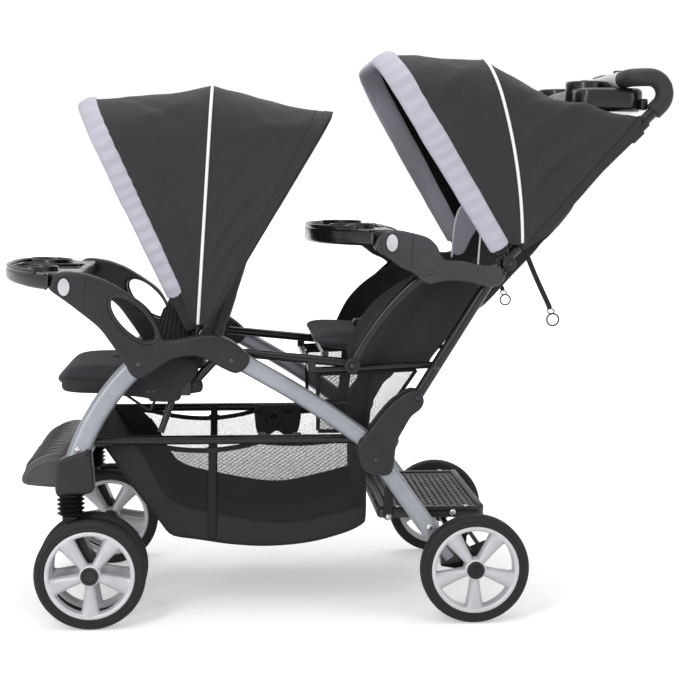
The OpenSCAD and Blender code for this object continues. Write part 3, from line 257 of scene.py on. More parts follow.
    def make(self, body, finishes, replaces=(), closed=True, ride=True):
        """Builds the mesh, merges its seams and turns the faces of closed shells outwards, and ties it to its body."""
        finishes = finishes if isinstance(finishes, (list, tuple)) else [finishes]
        mesh = bpy.data.meshes.new(self.name)
        faces = [f for block in self.f for f in block.tolist()]
        mesh.from_pydata((np.concatenate(self.v) * MM).tolist(), [], faces)
        mesh.uv_layers.new(name="Metres").data.foreach_set("uv", np.concatenate(self.uv) * MM)
        mesh.polygons.foreach_set("material_index", np.concatenate(self.slots).astype(np.int32))
        bm = bmesh.new()
        bm.from_mesh(mesh)
        bmesh.ops.remove_doubles(bm, verts=bm.verts, dist=2e-6)
        if closed:
            bmesh.ops.recalc_face_normals(bm, faces=bm.faces)
        bm.to_mesh(mesh)
        bm.free()
        mesh.polygons.foreach_set("use_smooth", np.ones(len(mesh.polygons), bool))
        for f in finishes:
            mesh.materials.append(f)
        obj = bpy.data.objects.new(self.name, mesh)
        bpy.context.scene.collection.objects.link(obj)
        if ride:
            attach(obj, body)
        if replaces:
            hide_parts(*replaces)
        return obj


# Camera at the photograph's place


PHOTO_ANGLES = (4.5767, 6.3182, 0.285)
PHOTO_PLACE = (-0.19301, -2.64124, 0.76768)
PHOTO_LENS, SENSOR = 74.78, 36


def add_camera():
    yaw, pitch, roll = np.radians(PHOTO_ANGLES)
    look = np.array([np.sin(yaw) * np.cos(pitch), np.cos(yaw) * np.cos(pitch), -np.sin(pitch)])
    right = np.array([np.cos(yaw), -np.sin(yaw), 0])
    up = np.cross(right, look)
    across = right * np.cos(roll) + up * np.sin(roll)
    upward = up * np.cos(roll) - right * np.sin(roll)
    turn = Matrix(np.stack([across, upward, -look], -1).tolist()).to_4x4()
    data = bpy.data.cameras.new("photo_camera")
    data.lens, data.sensor_width = PHOTO_LENS, SENSOR
    camera = bpy.data.objects.new("photo_camera", data)
    camera.matrix_world = Matrix.Translation(PHOTO_PLACE) @ turn
    bpy.context.scene.collection.objects.link(camera)
    bpy.context.scene.camera = camera


add_camera()


# Finishes


def tint(code):
    """Linear colour of an sRGB hex code."""
    c = np.array([int(code[i : i + 2], 16) for i in (1, 3, 5)]) / 255
    return (*np.where(c <= 0.04045, c / 12.92, ((c + 0.055) / 1.055) ** 2.4), 1.0)


class Tree:
    """Adds nodes to a shader tree, linking sockets and setting values by name."""

    def __init__(self, tree):
        self.tree = tree
        self.link = tree.links.new

    def node(self, kind, inputs=None, **settings):
        n = self.tree.nodes.new(kind)
        for k, v in settings.items():
            setattr(n, k, v)
        for k, v in (inputs or {}).items():
            if isinstance(v, bpy.types.NodeSocket):
                self.link(v, n.inputs[k])
            else:
                n.inputs[k].default_value = v
        return n

    def math(self, operation, a, b=0.0):
        return self.node("ShaderNodeMath", {0: a, 1: b}, operation=operation).outputs[0]

    def mix(self, factor, a, b):
        return self.node("ShaderNodeMix", {0: factor, 6: a, 7: b}, data_type="RGBA").outputs[2]

    def span(self, value, a, b, c, d):
        return self.node("ShaderNodeMapRange", {0: value, 1: a, 2: b, 3: c, 4: d}).outputs[0]

    def noise(self, place, scale, detail, **more):
        inputs = {"Vector": place, "Scale": scale, "Detail": detail, **more}
        return self.node("ShaderNodeTexNoise", inputs).outputs[0]

    def bump(self, height, strength, distance, **more):
        inputs = {"Strength": strength, "Distance": distance, "Height": height, **more}
        return self.node("ShaderNodeBump", inputs).outputs[0]


def effect(name, inputs, outputs):
    """An empty shader group with named sockets; an input without a value is a vector."""
    tree = bpy.data.node_groups.new(name, "ShaderNodeTree")
    for label, value in inputs.items():
        kind = "NodeSocketVector" if value is None else "NodeSocketFloat"
        socket = tree.interface.new_socket(label, in_out="INPUT", socket_type=kind)
        if value is not None:
            socket.default_value = value
    for label in outputs:
        tree.interface.new_socket(label, in_out="OUTPUT", socket_type="NodeSocketFloat")
    t = Tree(tree)
    return t, t.node("NodeGroupInput").outputs, t.node("NodeGroupOutput").inputs


def moulded_grain():
    """Fine pebble grain of moulded plastic, and broad clouds of handling marks."""
    t, i, o = effect("moulded_grain", {"Vector": None, "Grain": 900.0}, ["Height", "Cloud"])
    t.link(t.noise(i[0], i[1], 2.0), o[0])
    t.link(t.span(t.noise(i[0], 17.0, 5.0, Roughness=0.6), 0.35, 0.65, 0.0, 1.0), o[1])
    return t.tree


def woven_threads():
    """Plain weave: the sum of three sines along the coordinates, bent a little by noise, with soft dirt clouds."""
    t, i, o = effect("woven_threads", {"Vector": None, "Threads": 900.0}, ["Height", "Cloud"])
    bend = t.math("MULTIPLY", t.noise(i[0], 60.0, 1.0), 2.5)
    scaled = t.node("ShaderNodeVectorMath", {0: i[0], 3: t.math("MULTIPLY", i[1], 6.28)}, operation="SCALE")
    axes = t.node("ShaderNodeSeparateXYZ", {0: scaled.outputs[0]}).outputs
    waves = [t.math("SINE", t.math("ADD", axes[k], bend)) for k in range(3)]
    total = t.math("ADD", t.math("ADD", waves[0], waves[1]), waves[2])
    t.link(t.span(total, -3.0, 3.0, 0.0, 1.0), o[0])
    t.link(t.span(t.noise(i[0], 11.0, 4.0, Roughness=0.55), 0.33, 0.67, 0.0, 1.0), o[1])
    return t.tree


def net_holes():
    """Open net: rows of cells, every other row half a cell along, each with a round hole of the given radius."""
    t, i, o = effect("net_holes", {"Vector": None, "Cells": 240.0, "Hole": 0.36}, ["Thread"])
    scaled = t.node("ShaderNodeVectorMath", {0: i[0], 3: i[1]}, operation="SCALE")
    axes = t.node("ShaderNodeSeparateXYZ", {0: scaled.outputs[0]}).outputs
    row = t.math("MODULO", t.math("FLOOR", axes[1]), 2.0)
    u = t.math("FRACT", t.math("ADD", axes[0], t.math("MULTIPLY", row, 0.5)))
    du, dv = t.math("SUBTRACT", u, 0.5), t.math("SUBTRACT", t.math("FRACT", axes[1]), 0.5)
    away = t.math("SQRT", t.math("ADD", t.math("MULTIPLY", du, du), t.math("MULTIPLY", dv, dv)))
    t.link(t.math("GREATER_THAN", away, i[2]), o[0])
    return t.tree


def edge_wear_and_highlight():
    """Mask of convex edges, where handling has worn the surface and where a painted highlight stands for the light that
    the edges catch.
    """
    flat = 0.52
    t, i, o = effect("edge_wear_and_highlight", {"Reach": 0.06}, ["Edge"])
    bend = t.node("ShaderNodeNewGeometry").outputs["Pointiness"]
    t.link(t.span(bend, flat, t.math("ADD", i[0], flat), 0.0, 1.0), o[0])
    return t.tree


GRAIN, WEAVE, NET, EDGE_WEAR_AND_HIGHLIGHT = moulded_grain(), woven_threads(), net_holes(), edge_wear_and_highlight()
BY_SLOT = {}


def start(name, slot, gloss, **values):
    """A material with its shader's constant sockets set; the CAD's own faces wear the first one made for their slot."""
    m = bpy.data.materials.new(name)
    m.use_nodes = True
    m["slot"] = slot
    BY_SLOT.setdefault(slot, m)
    shader = m.node_tree.nodes["Principled BSDF"].inputs
    shader["Specular IOR Level"].default_value = gloss
    for k, v in values.items():
        shader[k.replace("_", " ")].default_value = v
    return m, Tree(m.node_tree), shader


def hard(name, slot, dark, light, rough, spread, grain, bump, edge=None, gloss=0.5, **values):
    """Moulded, painted or rubber finish: clouds between two tones, roughness that drifts with them, fine grain, and
    where an edge tone is given, lighter convex edges, partly handling wear and partly a painted highlight.
    """
    m, t, shader = start(name, slot, gloss, **values)
    place = t.node("ShaderNodeTexCoord").outputs["Object"]
    g = t.node("ShaderNodeGroup", {"Vector": place, "Grain": grain}, node_tree=GRAIN).outputs
    colour = t.mix(g["Cloud"], tint(dark), tint(light))
    # Convex edges take the edge tone: partly handling wear, partly a painted highlight.
    if edge:
        worn_and_lit = t.node("ShaderNodeGroup", node_tree=EDGE_WEAR_AND_HIGHLIGHT)
        colour = t.mix(worn_and_lit.outputs["Edge"], colour, tint(edge))
    t.link(colour, shader["Base Color"])
    t.link(t.span(g["Cloud"], 0.0, 1.0, rough - spread, rough + spread), shader["Roughness"])
    t.link(t.bump(g["Height"], bump, 0.0004), shader["Normal"])
    return m


def cloth(name, slot, dark, light, threads, rough, bump, crease, mapped=True, holes=None, gloss=0.5, **values):
    """Woven finish: painted shade between the threads and dirt clouds in the colour, thread relief and soft creases in
    the bump, holes for a net.
    """
    m, t, shader = start(name, slot, gloss, **values)
    body = t.node("ShaderNodeTexCoord").outputs["Object"]
    place = t.node("ShaderNodeUVMap", uv_map="Metres").outputs[0] if mapped else body
    g = t.node("ShaderNodeGroup", {"Vector": place, "Threads": threads}, node_tree=WEAVE).outputs
    # Colour: the thread height paints shade into the hollows between threads and light onto their crowns, and the
    # clouds add dirt.
    thread_shade_and_dirt = t.math("ADD", t.math("MULTIPLY", g["Height"], 0.45), t.math("MULTIPLY", g["Cloud"], 0.55))
    t.link(t.mix(thread_shade_and_dirt, tint(dark), tint(light)), shader["Base Color"])
    t.link(t.span(g["Cloud"], 0.0, 1.0, rough - 0.06, rough + 0.06), shader["Roughness"])
    soft = t.bump(t.noise(body, 16.0, 4.0, Distortion=1.2), crease, 0.006)
    t.link(t.bump(g["Height"], bump, 0.0005, Normal=soft), shader["Normal"])
    if holes:
        inputs = {"Vector": place, "Cells": holes[0], "Hole": holes[1]}
        t.link(t.node("ShaderNodeGroup", inputs, node_tree=NET).outputs["Thread"], shader["Alpha"])
    return m


# The last colour of a hard finish, where given, is the tone of its convex edges: partly handling wear, partly a painted
# highlight.
hard("silver_paint", "tube_silver", "#85878f", "#92949c", 0.36, 0.05, 2400, 0.06, Metallic=0.45)
hard("black_tube_paint", "tube_black", "#0e0e10", "#141416", 0.26, 0.05, 1500, 0.05, gloss=0.3, Coat_Weight=0.1)
CHARCOAL = hard(
    "charcoal_moulding", "plastic_charcoal", "#1f1f21", "#262629", 0.42, 0.06, 1100, 0.2, "#37373b", gloss=0.25
)
# The same charcoal plastic in lighter tones: this is painted light for the armrests, which catch more of the lamps'
# light.
CHARCOAL_LIT = hard(
    "charcoal_moulding_lit", "plastic_charcoal", "#303033", "#39393d", 0.42, 0.06, 1100, 0.2, "#4a4a4f", gloss=0.3
)
DARK = hard("black_moulding", "plastic_black", "#101012", "#161618", 0.38, 0.06, 1100, 0.15, "#28282c", gloss=0.25)
TRAY = hard(
    "tray_moulding", "plastic_tray", "#0f0f10", "#151516", 0.25, 0.05, 1300, 0.08, "#26262a", gloss=0.35,
    Coat_Weight=0.12,
)
PALE = hard("pale_grey_moulding", "plastic_grey", "#b7b8bd", "#c6c7cb", 0.38, 0.05, 1300, 0.1)
TYRE = hard("tyre_rubber", "tyre_black", "#19191a", "#222224", 0.62, 0.08, 700, 0.3, gloss=0.25)
RIM = hard("rim_moulding", "rim_grey", "#b3b4b8", "#c0c1c4", 0.34, 0.05, 1500, 0.08, "#d6d7da", Metallic=0.1)
hard("boot_rubber", "rubber_black", "#131315", "#1a1a1c", 0.34, 0.07, 900, 0.12, gloss=0.35)
FOAM = hard("grip_foam", "grip_foam", "#232325", "#2c2c2e", 0.6, 0.07, 1600, 0.5, gloss=0.3)
BROWN = hard("footrest_moulding", "footrest_brown", "#3b3a3a", "#464544", 0.46, 0.06, 800, 0.25, "#5d5b5a", gloss=0.35)
DECK = hard("platform_moulding", "platform_grey", "#232323", "#2d2c2c", 0.44, 0.06, 800, 0.3, "#42413f", gloss=0.35)
WIRE = hard("bow_wire", "bow_wire", "#111113", "#18181a", 0.34, 0.05, 1500, 0.06, gloss=0.3)
STEEL = hard("rivet_steel", "rivet_steel", "#303034", "#46464a", 0.16, 0.05, 1500, 0.05, Metallic=0.85)
BOLT = hard("bolt_steel", "rivet_steel", "#a6a6aa", "#bcbcc0", 0.22, 0.05, 1500, 0.05, Metallic=0.85)
BUCKLE = hard("buckle_red", "plastic_black", "#8e1f1c", "#a32823", 0.34, 0.05, 1300, 0.08)
CANOPY = cloth(
    "canopy_cloth", "canopy_cloth", "#222224", "#303032", 1100, 0.74, 0.35, 0.75, gloss=0.25, Sheen_Weight=0.06
)
LINING = cloth("canopy_lining", "canopy_cloth", "#101012", "#18181a", 1100, 0.88, 0.3, 0.35, gloss=0.1)
BAND = cloth("band_cloth", "band_cloth", "#a8a8b4", "#b9b9c4", 900, 0.86, 0.35, 0.5, gloss=0.2)
PIPING = cloth("white_piping", "band_cloth", "#e2e2e6", "#f0f0f2", 1000, 0.7, 0.3, 0.1)
SEAT = cloth(
    "seat_cloth", "seat_cloth", "#2f2f33", "#3e3e43", 950, 0.8, 0.4, 0.45, mapped=False, gloss=0.3, Sheen_Weight=0.08
)
SIDE = cloth("seat_side_cloth", "seat_cloth", "#232326", "#303034", 950, 0.8, 0.4, 0.45, mapped=False, gloss=0.25)
WING = cloth("seat_wing_cloth", "band_cloth", "#a6a6b3", "#b6b6c2", 900, 0.86, 0.35, 0.4, mapped=False)
BASKET = cloth("basket_cloth", "basket_cloth", "#1f1f21", "#2b2b2e", 800, 0.78, 0.4, 0.5, gloss=0.25)
MESH = cloth("basket_net", "basket_cloth", "#1d1d20", "#2a2a2d", 900, 0.7, 0.2, 0.1, holes=(1250, 0.44), gloss=0.3)
WEB = cloth("webbing", "webbing", "#121214", "#1c1c1f", 620, 0.72, 0.6, 0.1, gloss=0.25)

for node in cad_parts.values():
    for holder in node.material_slots:
        holder.material = BY_SLOT[holder.material.name.split(".")[0]]


# Recline straps and their rings, the only free cords


def recline_strap(side, name):
    """Flat webbing that hangs from a loop round an arm of the push bar, bending down at its end to a small wire eye
    and a ring."""
    y = BAR_Y * side
    top, end = np.array([323.7, y, 656.1]), np.array([371.6, y, 551.0])
    path = through([top, top + (end - top) * 0.45 + [-0.8, 0, -0.6], top + (end - top) * 0.86, end], 25)
    band = Piece("recline_strap_" + name).tube(path, oval(9.0, 2.0, 16, 5), ACROSS, 0.8)
    strap = band.make("push_frame", WEB, ["recline_straps"] if side < 0 else ())
    loop = Piece("recline_loop_" + name)
    loop.lathe(oval(2.0, 9.5, 14, 5) + [11.1, 0], (315.9, y, 663.9), (1, 0, 1), 40, closed=True)
    clip = loop.make("push_frame", WEB)
    ring = Piece("recline_ring_" + name)
    ring.lathe(oval(3.0, 3.0, 12) + [10.5, 0], (376.8, y, 531.7), ACROSS, 48, closed=True)
    ring.bead(at_y(turned_oval((372.8, 546.6), 12.5, 8.5, -8, 32), y), oval(2.2, 2.2, 10), ACROSS)
    pull = ring.make("push_frame", WIRE, ["recline_rings"] if side < 0 else ())


for side, name in SIDES:
    recline_strap(side, name)


# Canopies


class Canopy:
    """Sections of one canopy: each bow lies in a plane through the hub at its own angle. A bow is given as its angle,
    reach, half width at the top and at the foot, dip in the middle, corner radius and drift."""

    def __init__(self, name, base, hub, *bows):
        self.name, self.hub, self.bodies = name, np.array(hub, float), (base, name + "_mid", name + "_front")
        self.angle, self.reach, self.top, self.foot, self.dip, self.corner, self.drift = zip(*bows)

    def line(self, i, lift, low, count):
        """Points (y, rho) of bow i moved out by lift: up from rho = low, round a corner and over to the other side."""
        foot, y, r = self.foot[i], self.top[i] + lift, self.reach[i] + lift
        lean = (foot - self.top[i]) / self.reach[i]
        corners = [(-(foot + lift - lean * low), low), (-y, r), (y, r), (foot + lift - lean * low, low)]
        q = rounded(corners, self.corner[i], count)
        q[:, 1] -= self.dip[i] * np.cos(np.pi / 2 * np.clip(abs(q[:, 0]) / y, 0, 1)) * np.clip(q[:, 1] / r, 0, 1)
        return q

    def place(self, q, angle, i=0):
        """(y, rho) in the plane at the angle, as points of the model; a bow's drift carries its lower part along X by
        foot (1 - u) + bulge 4 u (1 - u), u being rho over the bow's reach."""
        a = np.radians(angle)
        rho = q[..., 1]
        u = np.clip(rho / self.reach[i], 0, 1)
        foot, bulge = self.drift[i]
        shift = foot * (1 - u) + bulge * 4 * u * (1 - u)
        return np.stack([self.hub[0] + rho * np.cos(a) + shift, q[..., 0], self.hub[1] + rho * np.sin(a)], -1)


FRONT = Canopy(
    "front_canopy", "chassis", (-246, 492), (114.8, 455, 163, 174.1, 0, 85, (0, 0)),
    (86.3, 443, 170, 185.1, 0, 85, (0, 0)), (59.0, 462, 175, 193.1, 0, 60, (0, 0)),
)
REAR = Canopy(
    "rear_canopy", "push_frame", (291, 632), (120.4, 411, 180, 244.5, 0, 85, (0, 0)),
    (94.6, 351, 190, 233.5, 0, 85, (24, 17)), (48.4, 341, 236, 236.0, 70, 26, (0, 0)),
)
CLOTH_LIFTS, PIPING_LIFT = (5.0, 5.2, 5.4), 6.4
BAND_LAP, BAND_THICK = 9.0, 15
COVER_WALL = 0.0016


def soft_folds(s, t, folds):
    """Ridges in the cloth's own (s, t): each is height exp(-(distance to a line / width)^2), fading at its ends."""
    total = np.zeros(np.broadcast(s, t).shape)
    for s0, t0, s1, t1, width, height in folds:
        d = np.array([s1 - s0, t1 - t0])
        along = np.clip(((s - s0) * d[0] + (t - t0) * d[1]) / (d @ d), 0, 1)
        gap = np.hypot(s - s0 - along * d[0], t - t0 - along * d[1])
        total = total + height * np.exp(-((gap / width) ** 2)) * np.sin(np.pi * (0.12 + 0.76 * along))
    return total


def cover_panel(c, i, j, a0, a1, lifts, low, folds, sag, rows=44, cols=230):
    """Cloth between two bows: straight from one section to the other, drooping by sag sin(pi t) towards the hub's
    axis, with folds and a faint ripple; near the feet both fade out. Returns the grid and its outward directions."""
    s = np.linspace(0, 1, cols)[None, :]
    t = np.linspace(0, 1, rows)[:, None]
    a = c.place(c.line(i, lifts[0], low[0], cols), a0, i)[None]
    b = c.place(c.line(j, lifts[1], low[1], cols), a1, j)[None]
    p = a * (1 - t[..., None]) + b * t[..., None]
    arm = p - np.array([c.hub[0], 0, c.hub[1]])
    out = unit(arm * [1, 0.8, 1])
    hold = np.clip(np.hypot(arm[..., 0], arm[..., 2]) / 200, 0, 1)
    mirrored = np.where(s < 0.5, s, 1 - s)
    edges = np.sin(np.pi * t) ** 0.6
    near = np.minimum(t, 1 - t) / 0.07
    pucker = 0.9 * np.sin(s * 520 + 3 * ripple(s * 30, [1.0, 2.3])) * np.exp(-near) * near
    move = -sag * np.sin(np.pi * t) + soft_folds(mirrored, t, folds) * edges
    move = move + 1.5 * ripple(s * 26 + t * 7, [1.0, 1.7, 2.9]) * edges + pucker
    return p + out * (move * hold)[..., None], out


def cover_panels(c, low, fore_folds, aft_folds, sag):
    """The canopy's two panels, each with a wall. Returns the rear one's grid and outward directions."""
    base, mid, front = c.bodies
    start_angle = c.angle[0] - np.degrees(BAND_LAP / c.reach[0])
    fore, _ = cover_panel(c, 0, 1, start_angle, c.angle[1], CLOTH_LIFTS[:2], low[:2], fore_folds, sag[0])
    aft, out = cover_panel(c, 1, 2, c.angle[1], c.angle[2], CLOTH_LIFTS[1:], low[1:], aft_folds, sag[1])
    for label, grid, near, far, k in (("fore", fore, front, mid, 0), ("aft", aft, mid, base, 1)):
        stands_for = [c.name + "_cover"] if label == "fore" else ()
        panel = Piece(c.name + "_" + label).grid(grid)
        obj = panel.make(None, [CANOPY, LINING], stands_for, closed=False, ride=False)
        wall = obj.modifiers.new("cloth", "SOLIDIFY")
        wall.thickness, wall.offset, wall.material_offset = COVER_WALL, -1.0, 1
        bpy.context.view_layer.objects.active = obj
        bpy.ops.object.modifier_apply(modifier="cloth")
        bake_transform(obj)
    return aft, out


def canopy_band(c, band_low, band_width, normal):
    """The padded band: an oval along the front bow, gathered on its inner side, with a sewn seam."""
    body = c.bodies[2]
    path = c.place(c.line(0, 1.0, band_low, 260), c.angle[0])
    s = np.linspace(0, 1, len(path))[:, None, None]
    ring = oval(BAND_THICK, band_width, 40, 2.6)[None]
    inner = np.clip(-ring[..., :1] / (BAND_THICK / 2), 0, 1)
    tucks = 0.22 * inner * np.sin(s * 290 + 2 * ripple(s * 30, [1.0, 1.9]))
    gather = 1 + 0.05 * ripple(s * 50, [1.0, 2.3, 3.1]) + tucks
    near_end = np.minimum(s, 1 - s)
    taper = (0.84 + 0.16 * np.clip(near_end / 0.2, 0, 1)) * (1 + 0.022 * ripple(s * 60 + 1, [1.0, 1.9, 2.7]))
    ends_in = np.clip(near_end / 0.008, 0.1, 1) ** 0.5
    p = carry(path, ring * np.concatenate([gather, taper + 0 * gather], -1) * ends_in, normal)
    Piece(c.name + "_band_pad").grid(capped(p), wrap_v=True).make(body, BAND, [c.name + "_band"])
    sewn = carry(path, np.array([[6.9, 0.36 * band_width]]), normal)[4:-4, 0]
    Piece(c.name + "_band_seam").tube(sewn, oval(1.3, 1.6, 8), normal, 0.6).make(body, BAND)


def canopy(c, low, band_low, band_width, fore_folds, aft_folds, sag):
    """Two cloth panels, the padded band on the front bow, piping on the middle one, hem, and clips at the feet."""
    base, mid, front = c.bodies
    rays = [np.array([np.cos(np.radians(a)), 0, np.sin(np.radians(a))]) for a in c.angle]
    normal = [np.array([-ray[2], 0, ray[0]]) for ray in rays]
    aft, out = cover_panels(c, low, fore_folds, aft_folds, sag)
    canopy_band(c, band_low, band_width, normal[0])
    trim = Piece(c.name + "_piping")
    trim.tube(c.place(c.line(1, PIPING_LIFT, low[1] + 4, 170), c.angle[1], 1), oval(4.6, 5.6, 14), normal[1], 2)
    trim.make(mid, PIPING)
    strip = np.concatenate([aft[-4:] + 1.1 * out[-4:], (aft[-4:] - 0.4 * out[-4:])[::-1]])
    hem = Piece(c.name + "_hem").grid(capped(np.moveaxis(strip, 0, 1)), wrap_v=True)
    if c is FRONT:
        hem.tube(aft[-7] + 0.3 * out[-7], oval(1.6, 1.6, 8), normal[2], 0.6)
    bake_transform(hem.make(None, CANOPY, ride=False))
    clip = Piece(c.name + "_foot_clips")
    rho = np.linspace(18, band_low + 12, 24)
    y = -c.foot[0] + rho * (c.foot[0] - c.top[0]) / c.reach[0]
    clip.tube(c.place(np.stack([y, rho], -1), c.angle[0]), oval(12.5, 25, 28, 4), normal[0], 4, both=True)
    hub = (c.hub[0], -c.foot[0], c.hub[1])
    deep = -5.0 if c is FRONT else 1.9
    boss = [(0, 6.4), (6, 6.4), (9.6, 5.6), (11.6, 3.4), (12, 2.4), (12, deep), (0, deep)]
    clip.lathe(boss, hub, both=True)
    clip.lathe([(0, 8.4), (3.6, 8.1), (5.2, 7.2), (5.4, 6.0)], hub, count=28, slot=1, both=True)
    clip.make(front, [DARK, STEEL])


canopy(
    FRONT, (34, 26, 40), 82, 35,
    [(0.06, 0.95, 0.22, 0.1, 0.02, 7.0), (0.1, 0.85, 0.3, 0.3, 0.016, -5.0), (0.24, 0.1, 0.3, 0.9, 0.018, 6.0),
     (0.33, 0.15, 0.36, 0.85, 0.014, 5.0), (0.3, 0.85, 0.42, 0.2, 0.016, -4.5), (0.42, 0.2, 0.48, 0.85, 0.022, 4.5)],
    [(0.05, 0.15, 0.2, 0.9, 0.018, 7.0), (0.1, 0.1, 0.27, 0.8, 0.016, 6.0), (0.16, 0.1, 0.3, 0.6, 0.014, -5.0),
     (0.3, 0.15, 0.34, 0.9, 0.014, 6.0), (0.25, 0.9, 0.36, 0.3, 0.016, 5.0), (0.42, 0.15, 0.47, 0.9, 0.022, 4.5)],
    (6.5, 6.5),
)
canopy(
    REAR, (42, 30, 34), 24, 43,
    [(0.05, 0.9, 0.22, 0.15, 0.018, 5.5), (0.25, 0.1, 0.33, 0.9, 0.016, 5.0), (0.38, 0.15, 0.47, 0.8, 0.022, 4.0)],
    [(0.06, 0.1, 0.24, 0.85, 0.018, 7.5), (0.12, 0.1, 0.3, 0.9, 0.015, -5.5), (0.18, 0.1, 0.36, 0.95, 0.016, 7.0),
     (0.26, 0.15, 0.4, 0.9, 0.015, -5.0), (0.34, 0.1, 0.45, 0.9, 0.02, 5.5)],
    (1.5, 6.5),
)


# Cushions and backrests


def pad_form(name, l, w, above, below, channels, place, power=4.5):
    """A stuffed pad: rings of a rounded outline |x|^power + |y|^power = r^power, raised by height (1 - r^3)^0.55 on
    both faces and drawn in at the sides, with sewn channels across; place turns (x, y, z) into the model's frame."""
    r = np.sin(np.linspace(0, 1, 30) * np.pi / 2)[:, None]
    t = np.linspace(0, 2 * np.pi, 120, endpoint=False)[None]
    c, s = np.cos(t), np.sin(t)
    x = r * np.sign(c) * abs(c) ** (2 / power)
    y = r * np.sign(s) * abs(s) ** (2 / power)
    rise = (1 - r**3) ** 0.55
    dent = sum(np.exp(-(((x - k) * l / 2 / 7) ** 2)) for k in channels)
    piece = Piece(name)
    for height, sign in ((above, 1), (below, -1)):
        z = sign * height * rise * (1 - 0.32 * np.clip(dent, 0, 1) * np.clip(1 - abs(y) ** 6, 0, 1))
        p = np.stack([x * (1 - 0.035 * (1 - y**2)) * l / 2, y * (1 - 0.03 * (1 - x**2)) * w / 2, z + 0 * x], -1)
        piece.grid(place(p), wrap_v=True, flip=sign < 0)
    return piece


def swept_pad(name, profile, spine, half):
    """A stuffed pad: a closed side profile carried across, its height about the spine and its length drawn in towards
    both ends by f = (1 - |s|^8)^0.42, s = y / half, with a shallow crown in between."""
    ring = through(profile, 120, True)
    s = np.sin(np.linspace(-1, 1, 61) * np.pi / 2)[:, None]
    f = np.maximum(1 - abs(s) ** 8, 0) ** 0.42
    (x0, z0), (x1, z1) = spine
    mid = z0 + (z1 - z0) * (ring[:, 0] - x0) / (x1 - x0)
    x = (x0 + x1) / 2 + (ring[:, 0] - (x0 + x1) / 2) * (1 - 0.1 * (1 - f) - 0.015 * s**2)
    z = mid + (ring[:, 1] - mid) * f * (1 + 0.06 * (1 - s**2))
    p = np.stack([x, np.broadcast_to(half * s, x.shape), z], -1)
    return Piece(name).grid(capped(p), wrap_v=True)


SIM_VOXEL, SIM_PRESSURE, SIM_QUALITY, SIM_FRAMES = 0.0055, 4.0, 4, 20


def points_of(mesh):
    """The mesh's points as an array."""
    flat = np.zeros(len(mesh.vertices) * 3)
    mesh.vertices.foreach_get("co", flat)
    return flat.reshape(-1, 3)


def stuffed(obj, cap):
    """Swells a pad with a short cloth simulation on a remeshed copy, moves no point by more than cap millimetres,
    keeps the result on the piece and smooths it with one subdivision."""
    scene = bpy.context.scene
    copy = bpy.data.objects.new(obj.name + "_sim", obj.data.copy())
    scene.collection.objects.link(copy)
    bpy.context.view_layer.objects.active = copy
    skin = copy.modifiers.new("remesh", "REMESH")
    skin.mode, skin.voxel_size, skin.use_smooth_shade = "VOXEL", SIM_VOXEL, True
    bpy.ops.object.modifier_apply(modifier="remesh")
    mesh = copy.data
    rest = points_of(mesh)
    sim = copy.modifiers.new("cloth", "CLOTH")
    sim.settings.use_pressure = True
    sim.settings.uniform_pressure_force = SIM_PRESSURE
    sim.settings.effector_weights.gravity = 0.0
    sim.settings.quality = SIM_QUALITY
    for f in range(1, SIM_FRAMES + 1):
        scene.frame_set(f)
    step = points_of(copy.evaluated_get(bpy.context.evaluated_depsgraph_get()).data) - rest
    scene.frame_set(1)
    copy.modifiers.remove(sim)
    far = np.linalg.norm(step, axis=1, keepdims=True)
    swollen = rest + step * np.minimum(1, cap * MM / np.maximum(far, 1e-9))
    mesh.vertices.foreach_set("co", swollen.reshape(-1))
    mesh.materials.clear()
    for m in obj.data.materials:
        mesh.materials.append(m)
    mesh.polygons.foreach_set("material_index", np.zeros(len(mesh.polygons), np.int32))
    mesh.polygons.foreach_set("use_smooth", np.ones(len(mesh.polygons), bool))
    obj.data = mesh
    bpy.data.objects.remove(copy)
    smooth = obj.modifiers.new("smooth", "SUBSURF")
    smooth.levels = smooth.render_levels = 1
    return obj


def slope(degrees):
    """Unit vectors along a line that rises at the angle from +X, and square to it towards the front."""
    a = np.radians(degrees)
    return np.array([np.cos(a), 0, np.sin(a)]), np.array([-np.sin(a), 0, np.cos(a)])


def tilted(origin, degrees):
    """Places a pad: its length runs from origin at the angle above +X, its upper face towards the front."""
    along, out = slope(degrees)
    base = np.array([origin[0], 0, origin[1]], float)
    return lambda p: base + p[..., :1] * along + p[..., 1:2] * np.array([0, 1.0, 0]) + p[..., 2:] * out


def seats():
    """Cushions swept from their side profiles, and backrests as channelled pads."""
    front = swept_pad(
        "front_seat_pad",
        [(-499, 420), (-492, 428), (-478, 436), (-450, 440), (-400, 441), (-350, 441), (-310, 441), (-292, 436),
         (-288, 424), (-292, 410), (-310, 404), (-350, 402), (-400, 401), (-440, 402), (-467, 405), (-488, 411)],
        ((-499, 418), (-288, 422)), 148,
    )
    stuffed(front.make("chassis", SEAT, ["front_seat_cushion"]), 3)
    rear = swept_pad(
        "rear_seat_pad",
        [(-42, 492), (-36, 497), (-20, 499), (10, 499), (50, 497), (100, 494), (135, 489), (150, 478), (145, 463),
         (120, 462), (60, 466), (10, 472), (-14, 475), (-28, 479), (-38, 486)],
        ((-42, 489), (148, 472)), 148,
    )
    stuffed(rear.make("chassis", SEAT, ["rear_seat_cushion"]), 3)
    for where, (hinge, degrees, length) in BACKRESTS.items():
        a, far = np.radians(degrees), length / 2 + 7
        middle = (hinge[0] + far * np.cos(a), hinge[1] + far * np.sin(a))
        back = pad_form(where + "_back_pad", length, 282, 17, 15, (-0.55, -0.1, 0.35), tilted(middle, degrees), 5)
        pad = back.make(where + "_backrest_body", SEAT, [where + "_backrest"])
        stuffed(pad, 6)


seats()


# Moulded shells


def outline(shares, corner, l, h, count):
    """Closed smooth outline through points given in hundredths of a box."""
    p = np.asarray(shares, float) / 100 * [l, h] + corner
    return through(p, count, True)


